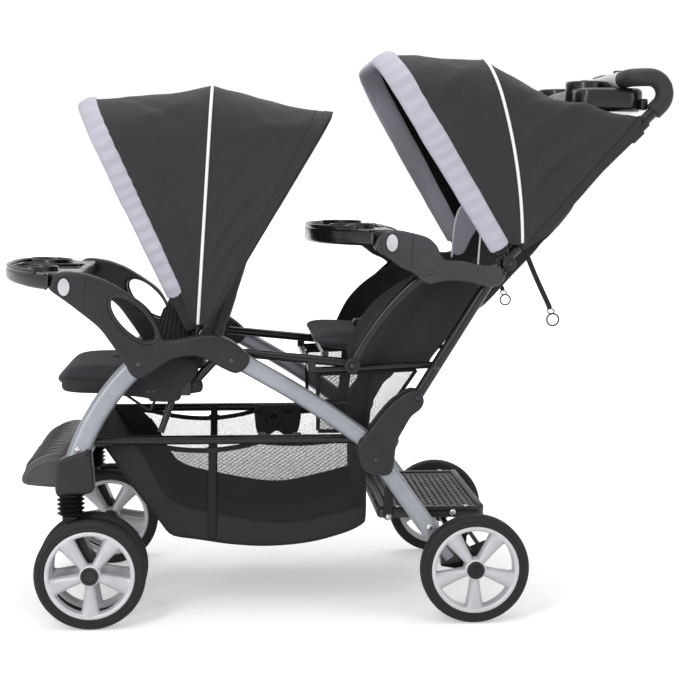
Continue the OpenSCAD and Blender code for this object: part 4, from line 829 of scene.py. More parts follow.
PLATE = [
    (0, 88), (2, 96), (7, 100), (17, 98), (24, 94), (31, 88), (42, 75), (49, 64), (54, 48), (56, 38), (60, 36),
    (73, 40), (81, 41), (89, 37), (96, 28), (100, 19), (98, 10), (93, 5), (86, 10), (78, 18), (70, 21), (60, 17),
    (50, 5), (45, 0), (40, 4), (36, 17), (29, 36), (24, 48), (17, 59), (8, 72), (0, 83),
]
HOUSING = [
    (60, 91), (72, 97), (84, 100), (95, 97), (100, 87), (95, 78), (81, 69), (70, 55), (61, 42), (57, 28), (55, 12),
    (50, 3), (40, 0), (27, 2), (14, 4), (5, 12), (1, 24), (0, 35), (8, 45), (18, 55), (34, 71), (49, 84),
]
ARM = [
    (0, 70), (3, 87), (9, 98), (18, 100), (29, 95), (39, 88), (46, 74), (50, 55), (55, 47), (66, 46), (79, 39),
    (87, 39), (94, 45), (98, 36), (98, 21), (95, 6), (88, 0), (81, 2), (71, 8), (57, 11), (47, 8), (42, 5), (36, 10),
    (29, 24), (20, 34), (12, 48), (4, 61),
]
DOME = np.array([(5.4, 0), (5.3, 0.7), (4.6, 1.7), (3.2, 2.4), (1.4, 2.8), (0, 2.9)])


def dome(piece, x, z, y, size=1.0, slot=0):
    """A low domed rivet head on the outer face of both sides."""
    piece.lathe(DOME * size, (x, -y, z), count=28, slot=slot, both=True)


def seam(piece, points, y, w=1.2, slot=0):
    """A thin dark joint line let into a face."""
    piece.tube(at_y(points, -y), oval(w, 0.9, 8), ACROSS, 0.4, slot=slot, both=True)


def looped(piece, line, y, w, h, slot=0):
    """A bead of oval section round a closed line, on the outer face at y."""
    piece.bead(at_y(line, -y), oval(w, h, 16), ACROSS, slot=slot, both=True)


def side_plates():
    x, z, l, h = -492, 432.5, 337, 184
    hole = turned_oval((-352.5, 535.4), 104, 47, -45, 96)
    p = Piece("side_plate_shells").slab(outline(PLATE, (x, z), l, h, 260), 199.3, PLATE_FACE, 6.5, [hole], steps=6)
    looped(p, hole, PLATE_FACE - 1.6, 6.5, 6.5)
    looped(p, turned_oval(BUTTONS["front"][:2], 31, 21, 90, 40), PLATE_FACE - 0.4, 3, 2.4, slot=1)
    seam(p, [(-433, 612), (-433.5, 590), (-434, 569), (-434.5, 548)], PLATE_FACE + 0.2, slot=1)
    for u, v in ((44, 14), (91, 17)):
        dome(p, x + l / 100 * u, z + h / 100 * v, PLATE_FACE - 0.1, slot=2)
    p.make("chassis", [CHARCOAL, DARK, STEEL], ["side_plate_left", "side_plate_right"])


def hinge_shells():
    corner, l, h, face = (33, 260), 115, 151, 237
    lower = [(0, 24), (14, 4), (27, 2), (40, 0), (50, 3), (55, 12), (57, 28), (60, 44), (10, 46), (0, 35)]
    line = outline(HOUSING, corner, l, h, 160)
    p = Piece("hinge_housing_shells").slab(line, 223.6, face, 5)
    p.slab(line, 195, 203.4, 3)
    p.slab(outline(lower, corner, l, h, 90), 200, 228, 2)
    seam(p, through([(39, 320), (60, 317), (76, 303), (87, 282)], 24), face + 0.1, slot=1)
    for u, v in ((28, 19), (90, 91)):
        dome(p, corner[0] + l / 100 * u, corner[1] + h / 100 * v, face - 0.1, slot=2)
    p.make("chassis", [CHARCOAL, DARK, STEEL], ["hinge_housings"])


def strut_shells():
    shares = [
        (0, 0), (40, -1), (81, 0), (97, 6), (100, 16), (96, 60), (92, 96), (84, 99), (50, 90), (14, 79), (3, 68),
        (0, 50),
    ]
    p = Piece("strut_housing_shells").slab(outline(shares, (-487, 234), 64, 76, 120), 195, 235, 5)
    seam(p, [(-486, 288), (-462, 296), (-428, 306)], 235.1, slot=1)
    p.make("chassis", [CHARCOAL, DARK], ["strut_housings"])


def armrest_shells():
    x, z, l, h, inner = 58, 591.3, 233, 97, 224
    line = outline(ARM, (x, z), l, h, 240)
    away = line - REAR.hub
    line = REAR.hub + away * np.maximum(1, 14 / np.linalg.norm(away, axis=1, keepdims=True))
    p = Piece("armrest_shells").slab(line, inner, ARM_FACE, 5)
    washer = [(4.2, 0.2), (12, 0.2), (12, 3.8), (4.2, 3.8)]
    p.lathe(washer, (REAR.hub[0], -inner, REAR.hub[1]), count=40, closed=True, both=True)
    p.slab([(276, 622), (284, 622), (288, 628), (288, 637), (276, 640)], inner + 0.2, inner + 3.8, 1)
    looped(p, turned_oval(BUTTONS["rear"][:2], 31, 21, 90, 40), ARM_FACE - 0.3, 3, 2.4, slot=1)
    seam(p, [(124, 686), (123.5, 665), (123, 645), (122.5, 622)], ARM_FACE + 0.1, slot=1)
    seam(p, through([(78, 690), (68, 672), (70, 656), (78, 646)], 20), ARM_FACE + 0.1, slot=1)
    dome(p, x + l / 100 * 42, z + h / 100 * 27, ARM_FACE - 0.1, slot=2)
    # The armrests wear the lit copy of the charcoal plastic. Its lighter tone is painted light.
    p.make("armrests", [CHARCOAL_LIT, DARK, STEEL], ["armrest_left", "armrest_right"])


def tray_buttons():
    for where, (x, z, y) in BUTTONS.items():
        for side, name in SIDES:
            p = Piece(f"{where}_tray_button_cap_{name}")
            for w, h, top in ((30, 20, 1.5), (26.5, 16.5, 2.1)):
                p.slab(turned_oval((x, z), w, h, 90, 48), y - 7.5, y + top, 1.4, both=False)
            p.v = [q * [1, -side, 1] for q in p.v]
            p.make(f"{where}_button_{name}", PALE, [f"{where}_tray_button_{name}"])


def round_box(x0, x1, y0, y1, r, count=96):
    """Rectangle with rounded corners as an even closed line."""
    a = np.linspace(0, np.pi / 2, 9)
    parts = []
    for k, (cx, cy) in enumerate(((x1 - r, y1 - r), (x0 + r, y1 - r), (x0 + r, y0 + r), (x1 - r, y0 + r))):
        t = a + k * np.pi / 2
        parts.append(np.stack([cx + r * np.cos(t), cy + r * np.sin(t)], -1))
    p = np.concatenate(parts + [parts[0][:1]])
    return even(p, count, True)


def cups(piece, place, wall, floor):
    """A cup on each side of a tray: a turned wall and a turned floor."""
    x, y, z = place
    for side, _ in SIDES:
        piece.lathe(wall, (x, side * y, z), UP, closed=True)
        piece.lathe(floor, (x, side * y, z), UP)


def child_tray(where, tip, reach, half, back_half, top, cup, lift):
    """Tray with a bulged front, x = tip - reach (1 - |s|^3) for y = s half, a narrower back, two cups with raised
    rings, and a middle dish with a rim; lift raises and thins the front by the square of the way forward."""
    cup_y, rise, depth, back = 118, 8, 27, tip + 44
    s = np.linspace(-1, 1, 41)
    bulge = np.stack([tip - reach * (1 - abs(s) ** 3), s * (half - 1)], -1)
    rest = np.array([(tip - 1, back_half), (back, back_half), (back, -back_half), (tip - 1, -back_half)])
    line = even(np.concatenate([bulge, rest, bulge[:1]]), 260, True)
    line = (line + np.roll(line, 1, 0) + np.roll(line, -1, 0)) / 3
    holes = [turned_oval((cup, side * cup_y), 74, 74, 0, 56) for side, _ in SIDES]
    dish = round_box(tip - reach + 15, tip + 37, -66, 66, 16)
    p = Piece(where + "_tray_shell").slab(line, top - depth, top, 6, holes + [dish], flat=True, both=False)
    ring = [(34.5, -24), (35, rise - 3), (36, rise - 0.6), (37.6, rise), (39.2, rise - 0.7), (40, rise - 2.6),
            (40.6, 1), (42.5, -1.5), (37.4, -3), (37.2, -24)]
    cups(p, (cup, cup_y, top), ring, [(0, -21), (32, -21), (36, -18), (36, -26), (0, -26)])
    p.slab(round_box(tip - reach + 14, tip + 38, -67, 67, 16), top - 25, top - 13, 2, flat=True, both=False)
    p.bead(np.insert(dish, 2, top - 0.6, axis=1), oval(4, 4, 14), UP)
    lip = bulge[2:-2]
    lip = lip + unit(np.array([tip + 10, 0]) - lip) * 5.5
    p.tube(np.insert(lip, 2, top + 1.5, axis=1), oval(7.5, 9, 18, 2.6), UP, 3)
    for q in p.v:
        forward = lift * np.clip((tip - q[:, 0]) / reach, 0, 1) ** 2
        q[:, 2] += forward * (5 + 9 * np.clip((top - 8 - q[:, 2]) / 19, 0, 1))
    p.make(where + "_tray_body", TRAY, [where + "_tray"])


def parent_tray():
    top, cup, cup_y = 937, 454.5, 112
    holes = [turned_oval((cup, side * cup_y), 68, 68, 0, 56) for side, _ in SIDES]
    dish = round_box(430, 488, -68, 68, 14)
    p = Piece("parent_tray_shell")
    p.slab(round_box(421, 541, -185, 185, 26, 200), 895, top, 9, holes + [dish], flat=True, both=False)
    wall = [(34, -30), (34, 10), (34.8, 13), (36.4, 14), (38, 13), (38.8, 10), (38.8, -2), (40, -8), (38, -30)]
    cups(p, (cup, cup_y, top), wall, [(0, -29), (30, -29), (34.2, -26), (34.2, -33.5), (0, -33.5)])
    p.slab(round_box(429, 489, -69, 69, 14), 904, 910, 2, flat=True, both=False)
    p.slab(round_box(528, 540, 897, 917, 4, 60), 168, 202.6, 3)
    p.make("push_frame", TRAY, ["parent_tray"])


def footrest():
    shares = [
        (0, 24), (2, 42), (12, 66), (34, 90), (58, 100), (80, 96), (100, 80), (100, 0), (62, 2), (20, 8), (5, 14),
    ]
    line, half = outline(shares, (-551, 236), 92, 58, 150), 194.5
    p = Piece("footrest_shell").slab(line, -half, half, 7, both=False)
    upper = through([(-550, 254), (-545, 271), (-531, 284), (-510, 292), (-490, 292.6)], 40)
    upper = upper + unit(upper - [-500, 250]) * 0.6
    for y in np.linspace(-150, 150, 11):
        wave = 5 * np.sin(np.linspace(0, np.pi, 40) + y / 40)
        p.tube(at_y(upper, y + wave), oval(4.5, 3.2, 10), (0.6, 0, 0.8), 1.5)
    edge = line + unit(line.mean(0) - line) * 9
    for y in (-half - 0.1, half + 0.1):
        p.bead(at_y(edge, y), oval(2.6, 1.8, 8), ACROSS)
    p.make("chassis", BROWN, ["footrest"])


def platform():
    """Treadplate with rows of raised dashes, a raised rear lip, black sides and end brackets."""
    p = Piece("standing_platform_deck").slab(round_box(76, 270, -165, 165, 10, 140), 168, 185, 4, flat=True, both=False)
    for k, x in enumerate(np.linspace(96, 250, 15)):
        for y in np.arange(-132 + 11 * (k % 2), 133, 22.0):
            p.tube([(x, y - 7.5, 185.2), (x, y, 185.4), (x, y + 7.5, 185.2)], oval(4.6, 4.4, 8), UP, 1.8)
    for x, w, h in ((80.5, 9, 8), (263.5, 13, 12)):
        p.tube([(x, -158, 184.5), (x, 0, 184.5), (x, 158, 184.5)], oval(w, h, 16, 3), UP, 3)
    for y in (-157, 157):
        p.tube([(84, y, 182), (173, y, 182), (262, y, 182)], oval(17, 12, 18, 3.5), UP, 3, slot=1)
        for x in (110, 236):
            p.lathe(DOME * 0.9, (x, y, 187.6), UP, 24, slot=2)
    p.slab(through([(86, 172), (102, 172), (101, 226), (94, 229), (88, 226)], 60, True), 166.5, 171, 1.6, slot=1)
    dome(p, 95, 172, 170.8, 1.1, slot=2)
    dome(p, 212, 178, 165.6, 1.1, slot=2)
    p.make("chassis", [DECK, DARK, BOLT], ["standing_platform"])


def wheel(name, tyre_node, rim_node, x, places, w, side):
    """Tyre with a grooved tread and sidewall lines, rim ring with lips, five flared and domed spokes, hub and caps, at
    each of the places out from the middle plane."""
    tyre, rim = Piece(name + "_tyre"), Piece(name + "_rim")
    h = w / 2
    tread = [(77, 2), (78.6, 0.2), (80.5, 0), (83, 0.2), (84, 1), (85, 0.1), (88, 0), (92.5, 1.8), (95, 4.8), (96, 8)]
    groove = [(96, -4.5), (94.4, -4), (94.4, -3), (96, -2.5)]
    lip = [(77.6, 2.4), (76.6, 0.4), (74.5, -0.2), (71.5, 0.4), (69.4, 2.2), (68.6, 5)]
    boss = [(6.3, 0), (14, 0), (17, 0.8), (18.5, 3)]
    tread, lip, boss = [[(r, -h + y) for r, y in line] for line in (tread, lip, boss)]
    tread, lip, boss = [
        line + middle + [(r, -y) for r, y in line[::-1]]
        for line, middle in ((tread + groove, []), (lip, []), (boss, [(19, 0)]))
    ]
    cap = [(15.6, -1), (15.6, 1.4), (14.8, 2.6), (12.5, 3.1), (9, 3.2), (8.6, 2.8), (0, 2.8)]
    t = np.linspace(0, 1, 30)
    r = 13 + 59 * t
    wide = 8.2 + 8.8 * t**1.3 + 6.5 * np.clip((t - 0.8) / 0.2, 0, 1) ** 2.2
    deep = 2 * h * (0.98 - 0.2 * np.sin(np.pi * t) ** 1.2)
    ring = oval(1, 1, 32, 2.2)[None] * np.stack([2 * wide, deep], -1)[:, None, :]
    for y in places:
        centre = (x, side * y, AXLE_Z)
        tyre.lathe(tread, centre, count=112, closed=True)
        rim.lathe(lip, centre, count=96, closed=True)
        rim.lathe(boss, centre, count=48, closed=True)
        for a in np.radians(72 * np.arange(5) - 90):
            spoke = at_y(np.stack([x + r * np.cos(a), AXLE_Z + r * np.sin(a)], -1), side * y)
            rim.grid(capped(carry(spoke, ring, ACROSS)), wrap_v=True)
    for y, way in ((side * (places[-1] + h), side), (side * (places[0] - h), -side)):
        rim.lathe(cap, (x, y, AXLE_Z), (0, way, 0), 40, slot=1)
        for a in 2 * np.pi * np.arange(3) / 3:
            spot = (x + 5 * np.cos(a), y + way * 2.7, AXLE_Z + 5 * np.sin(a))
            rim.lathe(DOME * 0.28, spot, (0, way, 0), 16, slot=1)
    tyre.make(name, TYRE, [tyre_node])
    rim.make(name, [RIM, DARK], [rim_node])


side_plates()
hinge_shells()
strut_shells()
armrest_shells()
tray_buttons()
child_tray("front", -494.8, 97, 232, 198.7, 612.8, -530, 1.0)
child_tray("rear", 57.7, 104, 245, 223.7, 688.3, 29.7, 0.0)
parent_tray()
footrest()
platform()
for side, name in SIDES:
    wheel("front_wheels_" + name, "front_tyres_" + name, "front_rims_" + name, -430, (184, 246), 24, side)
    wheel("rear_wheel_" + name, "rear_tyre_" + name, "rear_rim_" + name, 239, (245,), 30, side)


# Handle, rivets and small frame details


def handle():
    x, z = HANDLE_X, HANDLE_Z
    path = rounded([(544, -BAR_Y, 892), (605, -BAR_Y, z), (x, -BAR_Y, z), (x, -150.5, z)], 28.0, 90)
    p = Piece("handle_foam_grips").tube(path, oval(31, 31, 32), (0.35, -0.2, 0.5), 4, both=True)
    p.make("push_frame", FOAM, ["handle_grips"])
    p = Piece("handle_grey_cover")
    p.tube([(x, -150, z), (x, 0, z), (x, 150, z)], oval(30, 30.4, 36, 2.3), UP, 4)
    p.tube([(x, -34, 967), (x, 0, 967.4), (x, 34, 967)], oval(16, 6, 20, 3), UP, 3, slot=1)
    for y in (-118, 118):
        p.lathe([(9, 0), (9, 3), (7.6, 4.4), (0, 4.8)], (x, y, 966.4), UP, 32, slot=1)
    p.make("push_frame", [PALE, DARK], ["handle_cover"])
    p = Piece("fold_latch_sleeves")
    way = unit(np.array([1.0, 0, 1.0]))
    mid = np.array([508.1, -BAR_Y, 856.1])
    p.tube(mid + way * np.linspace(-18, 34, 15)[:, None], oval(25, 26, 32, 3), ACROSS, 3, both=True)
    ridge = mid + way * np.linspace(-10, 18, 9)[:, None] + [8.5, 0, -8.5]
    p.tube(ridge, oval(8, 15, 20, 3.5), ACROSS, 3, both=True)
    p.make("latches", DARK, ["latch_sleeves"])


def frame_details():
    p = Piece("frame_rivet_heads")
    dome(p, 161, 166, 225.9, 1.05, slot=2)
    knob = [(14, -0.5), (14, 4.2), (13, 6.2), (10.5, 7), (6.2, 7.1), (6, 6.6), (0, 6.6)]
    p.lathe(knob, (23, -222.3, 453), count=44, both=True, slot=1)
    dome(p, 23, 453, 228.6, 1.0)
    dome(p, 170, 448.8, 223.2, 1.1)
    dome(p, -450, 311, 225.9, 1.0, slot=2)
    p.make("chassis", [STEEL, DARK, BOLT], ["frame_rivets"])
    p = Piece("rail_bracket")
    box = [
        (-139, 314), (-136, 322), (-92, 323), (-48, 322), (-45, 314), (-46, 292), (-52, 268), (-64, 256), (-80, 262),
        (-94, 270), (-108, 262), (-122, 256), (-134, 268), (-138, 292),
    ]
    p.slab(through(box, 110, True), -182, -171, 2.5, both=False)
    p.lathe([(15, 0), (15, 4), (13, 6), (9.5, 6.4), (9, 5.4), (0, 5.4)], (-100, 171, 296), count=44)
    for x in (-132, -70):
        clamp = [(x - 8, -172, 317), (x, -172, 317.5), (x + 8, -172, 317)]
        p.tube(clamp, oval(22, 20, 24, 3.4), UP, 3, both=True)
    p.make("chassis", CHARCOAL)


handle()
frame_details()


# Rear seat sides, wings and basket


def seat_sides():
    """Cloth side panels of the rear seat with gathered lower strips, and the head wings on the backrest."""
    line = [
        (18, 470), (22, 488), (33, 513), (47, 538), (69, 563), (94, 583), (123, 601), (150, 612), (200, 606),
        (252, 600), (262, 590), (243, 562), (218, 523), (193, 488), (170, 459), (164, 445), (150, 441), (92, 440),
        (32, 441),
    ]
    p = Piece("rear_seat_side_panels").slab(through(line, 170, True), 160, 166, 2.4)
    seam(p, [(134, 602), (134.4, 560), (134.8, 515), (135.4, 470)], 166.2, 1.8)
    seam(p, through([(24, 466), (60, 467), (110, 466), (140, 466), (168, 466)], 30), 166.2, 1.8)
    for k in range(13):
        x = 34 + 10 * k
        seam(p, through([(x, 465), (x + 2 * (-1) ** k, 458), (x - 1, 450), (x + 2, 443.5)], 12), 165.8, 3.2)
    cloth_side = p.make(None, SIDE, ["rear_seat_sides"], ride=False)
    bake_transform(cloth_side)
    p = Piece("rear_seat_wings")
    wing = [
        (250, 560), (252, 600), (254, 640), (257, 680), (266, 714), (280, 727), (300, 719), (336, 708), (372, 706),
        (388, 698), (378, 674), (320, 612), (270, 558),
    ]
    p.slab(through(wing, 150, True), 146.5, 151.5, 2.2)
    patch = [(256, 632), (259, 679), (268, 716), (279, 725), (292, 704), (304, 684), (291, 658), (276, 630)]
    p.slab(through(patch, 90, True), 143.8, 148, 1.8, slot=1)
    edge = through([(254.5, 622), (257, 660), (260, 690), (268, 717), (280, 728)], 40)
    p.tube(at_y(edge, -148.4), oval(4.5, 6.5, 12), ACROSS, 2, slot=2, both=True)
    p.make("rear_backrest_body", [SIDE, WING, PIPING])


BASKET_LINE = [
    (0, 100), (3, 92), (14, 53), (23, 24), (26, 14), (29, 10), (37, 7), (50, 2), (64, 0), (79, 3), (92, 11), (99, 19),
    (100, 26), (100, 60), (99, 100),
]
BASKET_NOSE, BASKET_LENGTH, BASKET_FLOOR, BASKET_HALF = -421, 472, 124, 172.5


def as_sheet(name, grid, finish, body="chassis", replaces=(), thick=1.4, plan=None):
    """A cloth piece with a wall, from its grid."""
    obj = Piece(name).grid(grid, plan=plan).make(body, finish, replaces, closed=False)
    wall = obj.modifiers.new("cloth", "SOLIDIFY")
    wall.thickness, wall.offset = thick * MM, 0.0


def basket():
    """A sling: the side profile carried across, sagging in the middle, with side walls of cloth below a curved
    border and open net above it, and a bound top edge that hangs a little between its fixings."""
    line = through(np.array(BASKET_LINE) / 100 * [BASKET_LENGTH, 196] + [BASKET_NOSE, BASKET_FLOOR], 90)
    tail = BASKET_NOSE + BASKET_LENGTH
    v = np.linspace(-1, 1, 61)
    sag = 5 * np.cos(np.pi / 2 * v) ** 0.7
    hang = np.clip((230 - line[:, 1]) / 90, 0, 1)[:, None]
    fold = 1.2 * ripple(v[None] * 13 + line[:, :1] / 30, [1.0, 2.2, 3.7])
    z = line[:, 1:2] - sag * hang + fold * hang * (1 - v**8)
    grid = np.stack([np.broadcast_to(line[:, :1], z.shape), np.broadcast_to(v * 172, z.shape), z], -1)
    as_sheet("basket_sling", grid, BASKET, replaces=["basket"])
    xs = np.linspace(BASKET_NOSE + 4, tail - 0.8, 150)
    lower = np.interp(xs, np.maximum.accumulate(line[:, 0]), line[:, 1])
    points = through([(-421, 319), (-372, 316), (-350, 300), (-330, 270), (-312, 235), (-285, 205), (-212, 184),
                      (-97, 166), (-6, 181), (52, 196)], 200)
    border = np.interp(xs, points[:, 0], points[:, 1])
    held_x, held_z = -338, 311.5
    dip = 15 * np.sin(np.pi * np.clip((xs - held_x) / 200, 0, 1)) ** 0.8
    dip = dip + 4 * np.sin(np.pi * np.clip((xs - held_x - 200) / 130, 0, 1))
    top = np.where(xs < held_x, np.interp(xs, [BASKET_NOSE, held_x], [318.5, held_z]), held_z - dip)
    border = np.clip(border, lower + 0.5, top - 0.5)
    t = np.linspace(0, 1, 36)[:, None]
    belly = BASKET_HALF + 1.6 * ripple(xs / 26, [1.0, 1.9, 3.3])[None] * np.sin(np.pi * t)
    across = np.broadcast_to(xs, belly.shape)
    wall = np.stack([across, lower + (border - lower) * t], -1)
    net = np.stack([across, border + (top - border) * t], -1)[:, 20:]
    for side, name in SIDES:
        as_sheet("basket_wall_" + name, at_y(wall, side * belly), BASKET)
        grid = at_y(net, side * BASKET_HALF)
        as_sheet("basket_net_" + name, grid, MESH, thick=0.5, plan=(0, 2))
    p = Piece("basket_binding")
    p.tube(at_y(np.stack([xs, top + 0.5], -1), -173.2), oval(4, 9, 14, 3), UP, 2, both=True)
    p.tube(at_y(np.stack([xs, border], -1)[22:], -173.4), oval(4, 2.4, 12), ACROSS, 1, both=True)
    p.tube(at_y(line + [0, 1], -172.6), oval(5, 4, 12), ACROSS, 2, both=True)
    ends = np.stack([np.full(20, tail - 1.0), np.linspace(-170, 170, 20), np.full(20, 317.0)], -1)
    p.tube(ends, oval(4, 9, 14, 3), UP, 2)
    p.make("chassis", WEB)
    p = Piece("basket_straps")
    drop = through([(-219, 324), (-220, 300), (-220.5, 240), (-221, 180), (-221.5, 139)], 40)
    p.tube(at_y(drop, -175.2), oval(14, 2.2, 16, 4), ACROSS, 1, both=True)
    p.tube(at_y([(-231, 298), (-220, 298), (-209, 298)], -176.4), oval(12, 4, 16, 3), ACROSS, 2, slot=1, both=True)
    p.make("chassis", [WEB, DARK])


def rear_flaps():
    """Side flaps of the rear canopy over the push bar: from the last bow's line they hang at right angles to it, by a
    depth read off along the bow, and end in a slanting edge short of its corner."""
    a = np.radians(REAR.angle[2])
    along, across = np.array([np.cos(a), np.sin(a)]), np.array([np.sin(a), -np.cos(a)])
    f = np.linspace(0, 1, 14)[:, None]
    run = 34 + (306 - 28 * f) * np.linspace(0, 1, 90)[None]
    deep = np.interp(run, [34, 76, 226, 300, 340], [4, 17, 16, 21, 28]) * f
    q = REAR.hub + run[..., None] * along + deep[..., None] * across
    wave = 1.4 * ripple(run / 24, [1.0, 1.9, 3.1]) * f
    for side, name in SIDES:
        grid = at_y(q, side * (240.6 + wave))
        as_sheet("rear_canopy_flap_" + name, grid, CANOPY, "push_frame", thick=1.6)


def rear_gussets():
    """Net side panels between the rear seat's lower bar and the basket, with a slanting bound strip."""
    u = np.linspace(0, 1, 40)[:, None]
    t = np.linspace(0, 1, 24)[None]
    a, b = np.array([-35.0, 432]), np.array([142.0, 440])
    c, d = np.array([-33.0, 330]), np.array([66.0, 330])
    q = (a + (b - a) * u[..., None]) * (1 - t[..., None]) + (c + (d - c) * u[..., None]) * t[..., None]
    bow = 2.0 * np.sin(np.pi * u) * np.sin(np.pi * t)
    for side, name in SIDES:
        grid = at_y(q, side * (171 + bow))
        as_sheet("rear_net_" + name, grid, MESH, thick=0.8, plan=(0, 2))
    p = Piece("rear_net_binding")
    for pts, w in (
        (((-35, 433), (54, 436.5), (142, 440.5)), 9), (((-34, 431), (-33.5, 380), (-33, 331)), 7),
        (((142, 439), (104, 384), (66, 331)), 7), (((48, 436), (44, 384), (38, 331)), 22),
        (((-33, 330), (16, 330), (66, 330)), 7),
    ):
        p.tube(through(at_y(pts, -173.4), 24), oval(w, 2.4, 14, 3.4), ACROSS, 1, both=True)
    p.make("chassis", WEB)


seat_sides()
basket()
rear_gussets()
rear_flaps()


# Front seat cloth and harnesses


def front_seat_cloth():
    """Cloth sleeve round the front seat's tube, the deeper sides under the plates with their seams, a wire stay under
    the seat, and pleated side curtains up to the canopy."""
    p = Piece("front_seat_sling")
    half = [(-236, -166, 414), (-262, -166, 410), (-476, -166, 413)]
    loop = rounded(half + [(x, -y, z) for x, y, z in half[::-1]], [20, 34, 34, 20], 160)
    path, shrink = blunt(loop, 160, 8)
    k = np.arange(len(path))
    sleeve = oval(20, 25, 28, 3)[None] * (1 + 0.035 * ripple(np.stack([k / 7, k / 5], -1), [1.0, 2.1]))[:, None]
    p.grid(capped(carry(path, sleeve * shrink, UP)), wrap_v=True)
    side = [
        (-384, 440), (-381, 420), (-378, 398), (-356, 395), (-332, 391), (-324, 386), (-280, 387), (-270, 409),
        (-250, 427), (-243, 447), (-247, 459), (-300, 466), (-350, 456),
    ]
    p.slab(through(side, 130, True), 150, 183, 6)
    seam(p, [(-329, 414.5), (-312, 414.3), (-296, 414.6), (-280, 414.5)], 183.1, 1.8)
    for x in (-332, -322):
        dome(p, x, 404, 182.6, 0.5, slot=1)
    stay = rounded([(-376, -166, 400), (-329, -166, 367), (-318, -166, 392)], 4, 40)
    p.tube(stay, oval(5, 5, 14), ACROSS, 2, slot=2, both=True)
    p.make("chassis", [SIDE, STEEL, WIRE])
    u = np.linspace(0, 1, 90)[:, None]
    t = np.linspace(0, 1, 40)[None]
    top = through([(-304, 548), (-290, 561), (-274, 568), (-262, 551)], 90)
    foot = through([(-330, 478), (-305, 470), (-275, 466), (-246, 470)], 90)
    q = top[:, None] * (1 - t[..., None]) + foot[:, None] * t[..., None]
    pleat = 3.2 * np.sin(u * 52 + 2 * t) * (0.25 + 0.75 * t)
    for sign, name in SIDES:
        grid = at_y(q, sign * (164 + 8 * t + pleat))
        as_sheet("front_seat_curtain_" + name, grid, SIDE)


def harness(where, lap):
    """Two shoulder straps down a backrest to a buckle with a crotch strap, and lap straps from the sides: flat webbing
    along lines laid a little above the pads; the shoulder straps end between the backrest and the cushion."""
    hinge, degrees, length = BACKRESTS[where]
    along, out = slope(degrees)
    root, lap = np.array([hinge[0], 0, hinge[1]]), np.asarray(lap, float)
    straps = Piece(where + "_shoulder_straps")
    top, mid = root + along * length * 0.8 + out * 20, root + along * length * 0.36 + out * 21
    line = [
        top + out * -8 + along * 8 + [0, -62, 0], top + [0, -62, 0], mid + [0, -60, 0],
        root + along * 58 + out * 19 + [0, -70, 0], root + along * 22 + out * 10 + [0, -84, 0],
    ]
    belt = oval(24, 1.8, 18, 5)
    straps.tube(through(line, 60), belt, out, 0.8, both=True)
    pads = [mid + [0, -61, 0] + out * 1.5 + along * k for k in (20, 70, 120)]
    straps.tube(through(pads, 20), oval(36, 8, 20, 3), out, 4, slot=1, both=True)
    straps.make(where + "_backrest_body", [WEB, SIDE])
    lower = Piece(where + "_lap_harness")
    line = [lap + step for step in ([6, -16, 6], [26, -60, 6], [58, -118, -6], [66, -138, -24])]
    lower.tube(through(line, 40), belt, (0.1, 0, 1), 0.8, both=True)
    line = [lap + step for step in ([-3, 0, 5], [-16, 0, 2], [-42, 0, -3])]
    lower.tube(through(line, 24), oval(30, 2.0, 18, 5), (0.2, 0, 1), 0.8)
    buckle = round_box(lap[0] - 22, lap[0] + 24, -21, 21, 11, 80)
    lower.slab(buckle, lap[2] + 2, lap[2] + 15, 4, flat=True, both=False, slot=1)
    lower.lathe([(9.5, 13), (9.5, 16.2), (8, 17.6), (0, 18)], lap, UP, 36, slot=2)
    lower.make("chassis", [WEB, DARK, BUCKLE])


front_seat_cloth()
harness("front", (-372, 0, 446))
harness("rear", (66, 0, 499))


# Studio


FLOOR_HALF, FLOOR_Z = 40, -0.0005
WHITE = (1, 1, 1, 1)
AIM = (0, 0, 0.45)
GLOW = (0.5, 2.2, 0.38, 1.0)


def seen_rays(t):
    """1 for camera, glossy and transmitted rays, which see the white surroundings."""
    rays = t.node("ShaderNodeLightPath").outputs
    mirrored = t.math("MAXIMUM", rays["Is Glossy Ray"], rays["Is Transmission Ray"])
    return t.math("MAXIMUM", rays["Is Camera Ray"], mirrored)


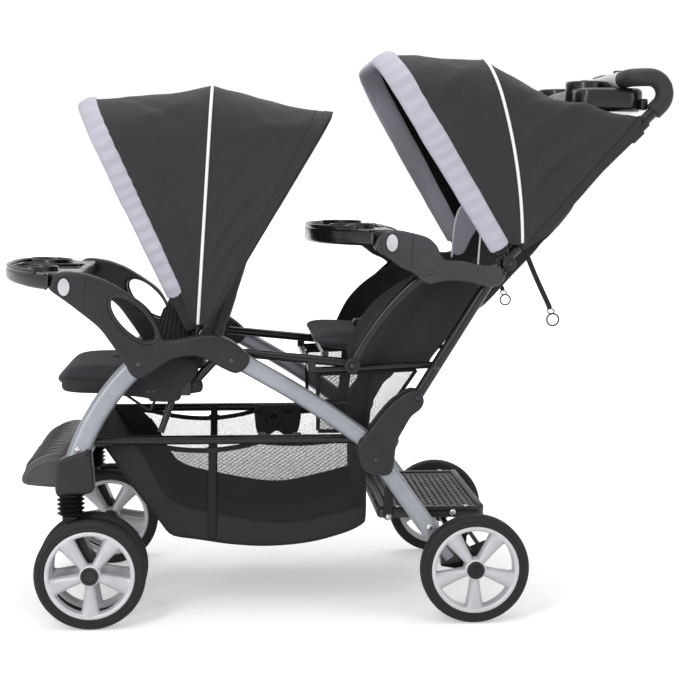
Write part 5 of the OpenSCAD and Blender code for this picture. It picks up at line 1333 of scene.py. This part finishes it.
def studio():
    """White surroundings for camera, glossy and transmitted rays, plain grey light for the rest, soft lamps, and a
    floor that is topped up towards white with distance so that only the object's shadow shows on it."""
    scene = bpy.context.scene
    scene.view_settings.view_transform = "Standard"
    world = bpy.data.worlds.new("studio")
    scene.world = world
    world.use_nodes = True
    t = Tree(world.node_tree)
    t.tree.nodes.clear()
    white = t.node("ShaderNodeBackground", {0: WHITE, 1: 1.0})
    plain = t.node("ShaderNodeBackground", {0: WHITE, 1: 0.5})
    both = t.node("ShaderNodeMixShader", {0: seen_rays(t), 1: plain.outputs[0], 2: white.outputs[0]})
    t.node("ShaderNodeOutputWorld", {0: both.outputs[0]})
    for name, place, size, power in (
        ("key", (-1.5, -2.6, 2.6), (0.5, 2.4), 42),
        ("top", (0.2, 0.2, 3.2), (2.6, 2.6), 52),
        ("fill", (2.2, -2.2, 1.4), (1.6, 1.6), 14),
        ("front", (-2.0, -2.3, 0.8), (1.2, 1.2), 16),
    ):
        data = bpy.data.lights.new(name, "AREA")
        data.shape, data.energy, data.size, data.size_y = "RECTANGLE", power, size[0], size[1]
        lamp = bpy.data.objects.new(name, data)
        aim = Vector(AIM) - Vector(place)
        lamp.matrix_world = Matrix.Translation(place) @ aim.to_track_quat("-Z", "Y").to_matrix().to_4x4()
        scene.collection.objects.link(lamp)
    floor, t, _ = start("floor_paper", "tube_silver", 0.1, Roughness=0.9, Base_Color=(0.86, 0.86, 0.86, 1))
    place = t.node("ShaderNodeTexCoord").outputs["Object"]
    away = t.node("ShaderNodeVectorMath", {0: place}, operation="LENGTH").outputs["Value"]
    glow = t.math("MULTIPLY", seen_rays(t), t.span(away, *GLOW))
    light = t.node("ShaderNodeEmission", {0: WHITE, 1: glow})
    paper = t.tree.nodes["Principled BSDF"]
    total = t.node("ShaderNodeAddShader", {0: paper.outputs[0], 1: light.outputs[0]})
    t.link(total.outputs[0], t.tree.nodes["Material Output"].inputs[0])
    mesh = bpy.data.meshes.new("floor")
    corners = [(x * FLOOR_HALF, y * FLOOR_HALF, FLOOR_Z) for x, y in ((-1, -1), (1, -1), (1, 1), (-1, 1))]
    mesh.from_pydata(corners, [], [(0, 1, 2, 3)])
    mesh.materials.append(floor)
    ground = bpy.data.objects.new("floor", mesh)
    scene.collection.objects.link(ground)


studio()
bpy.context.view_layer.update()
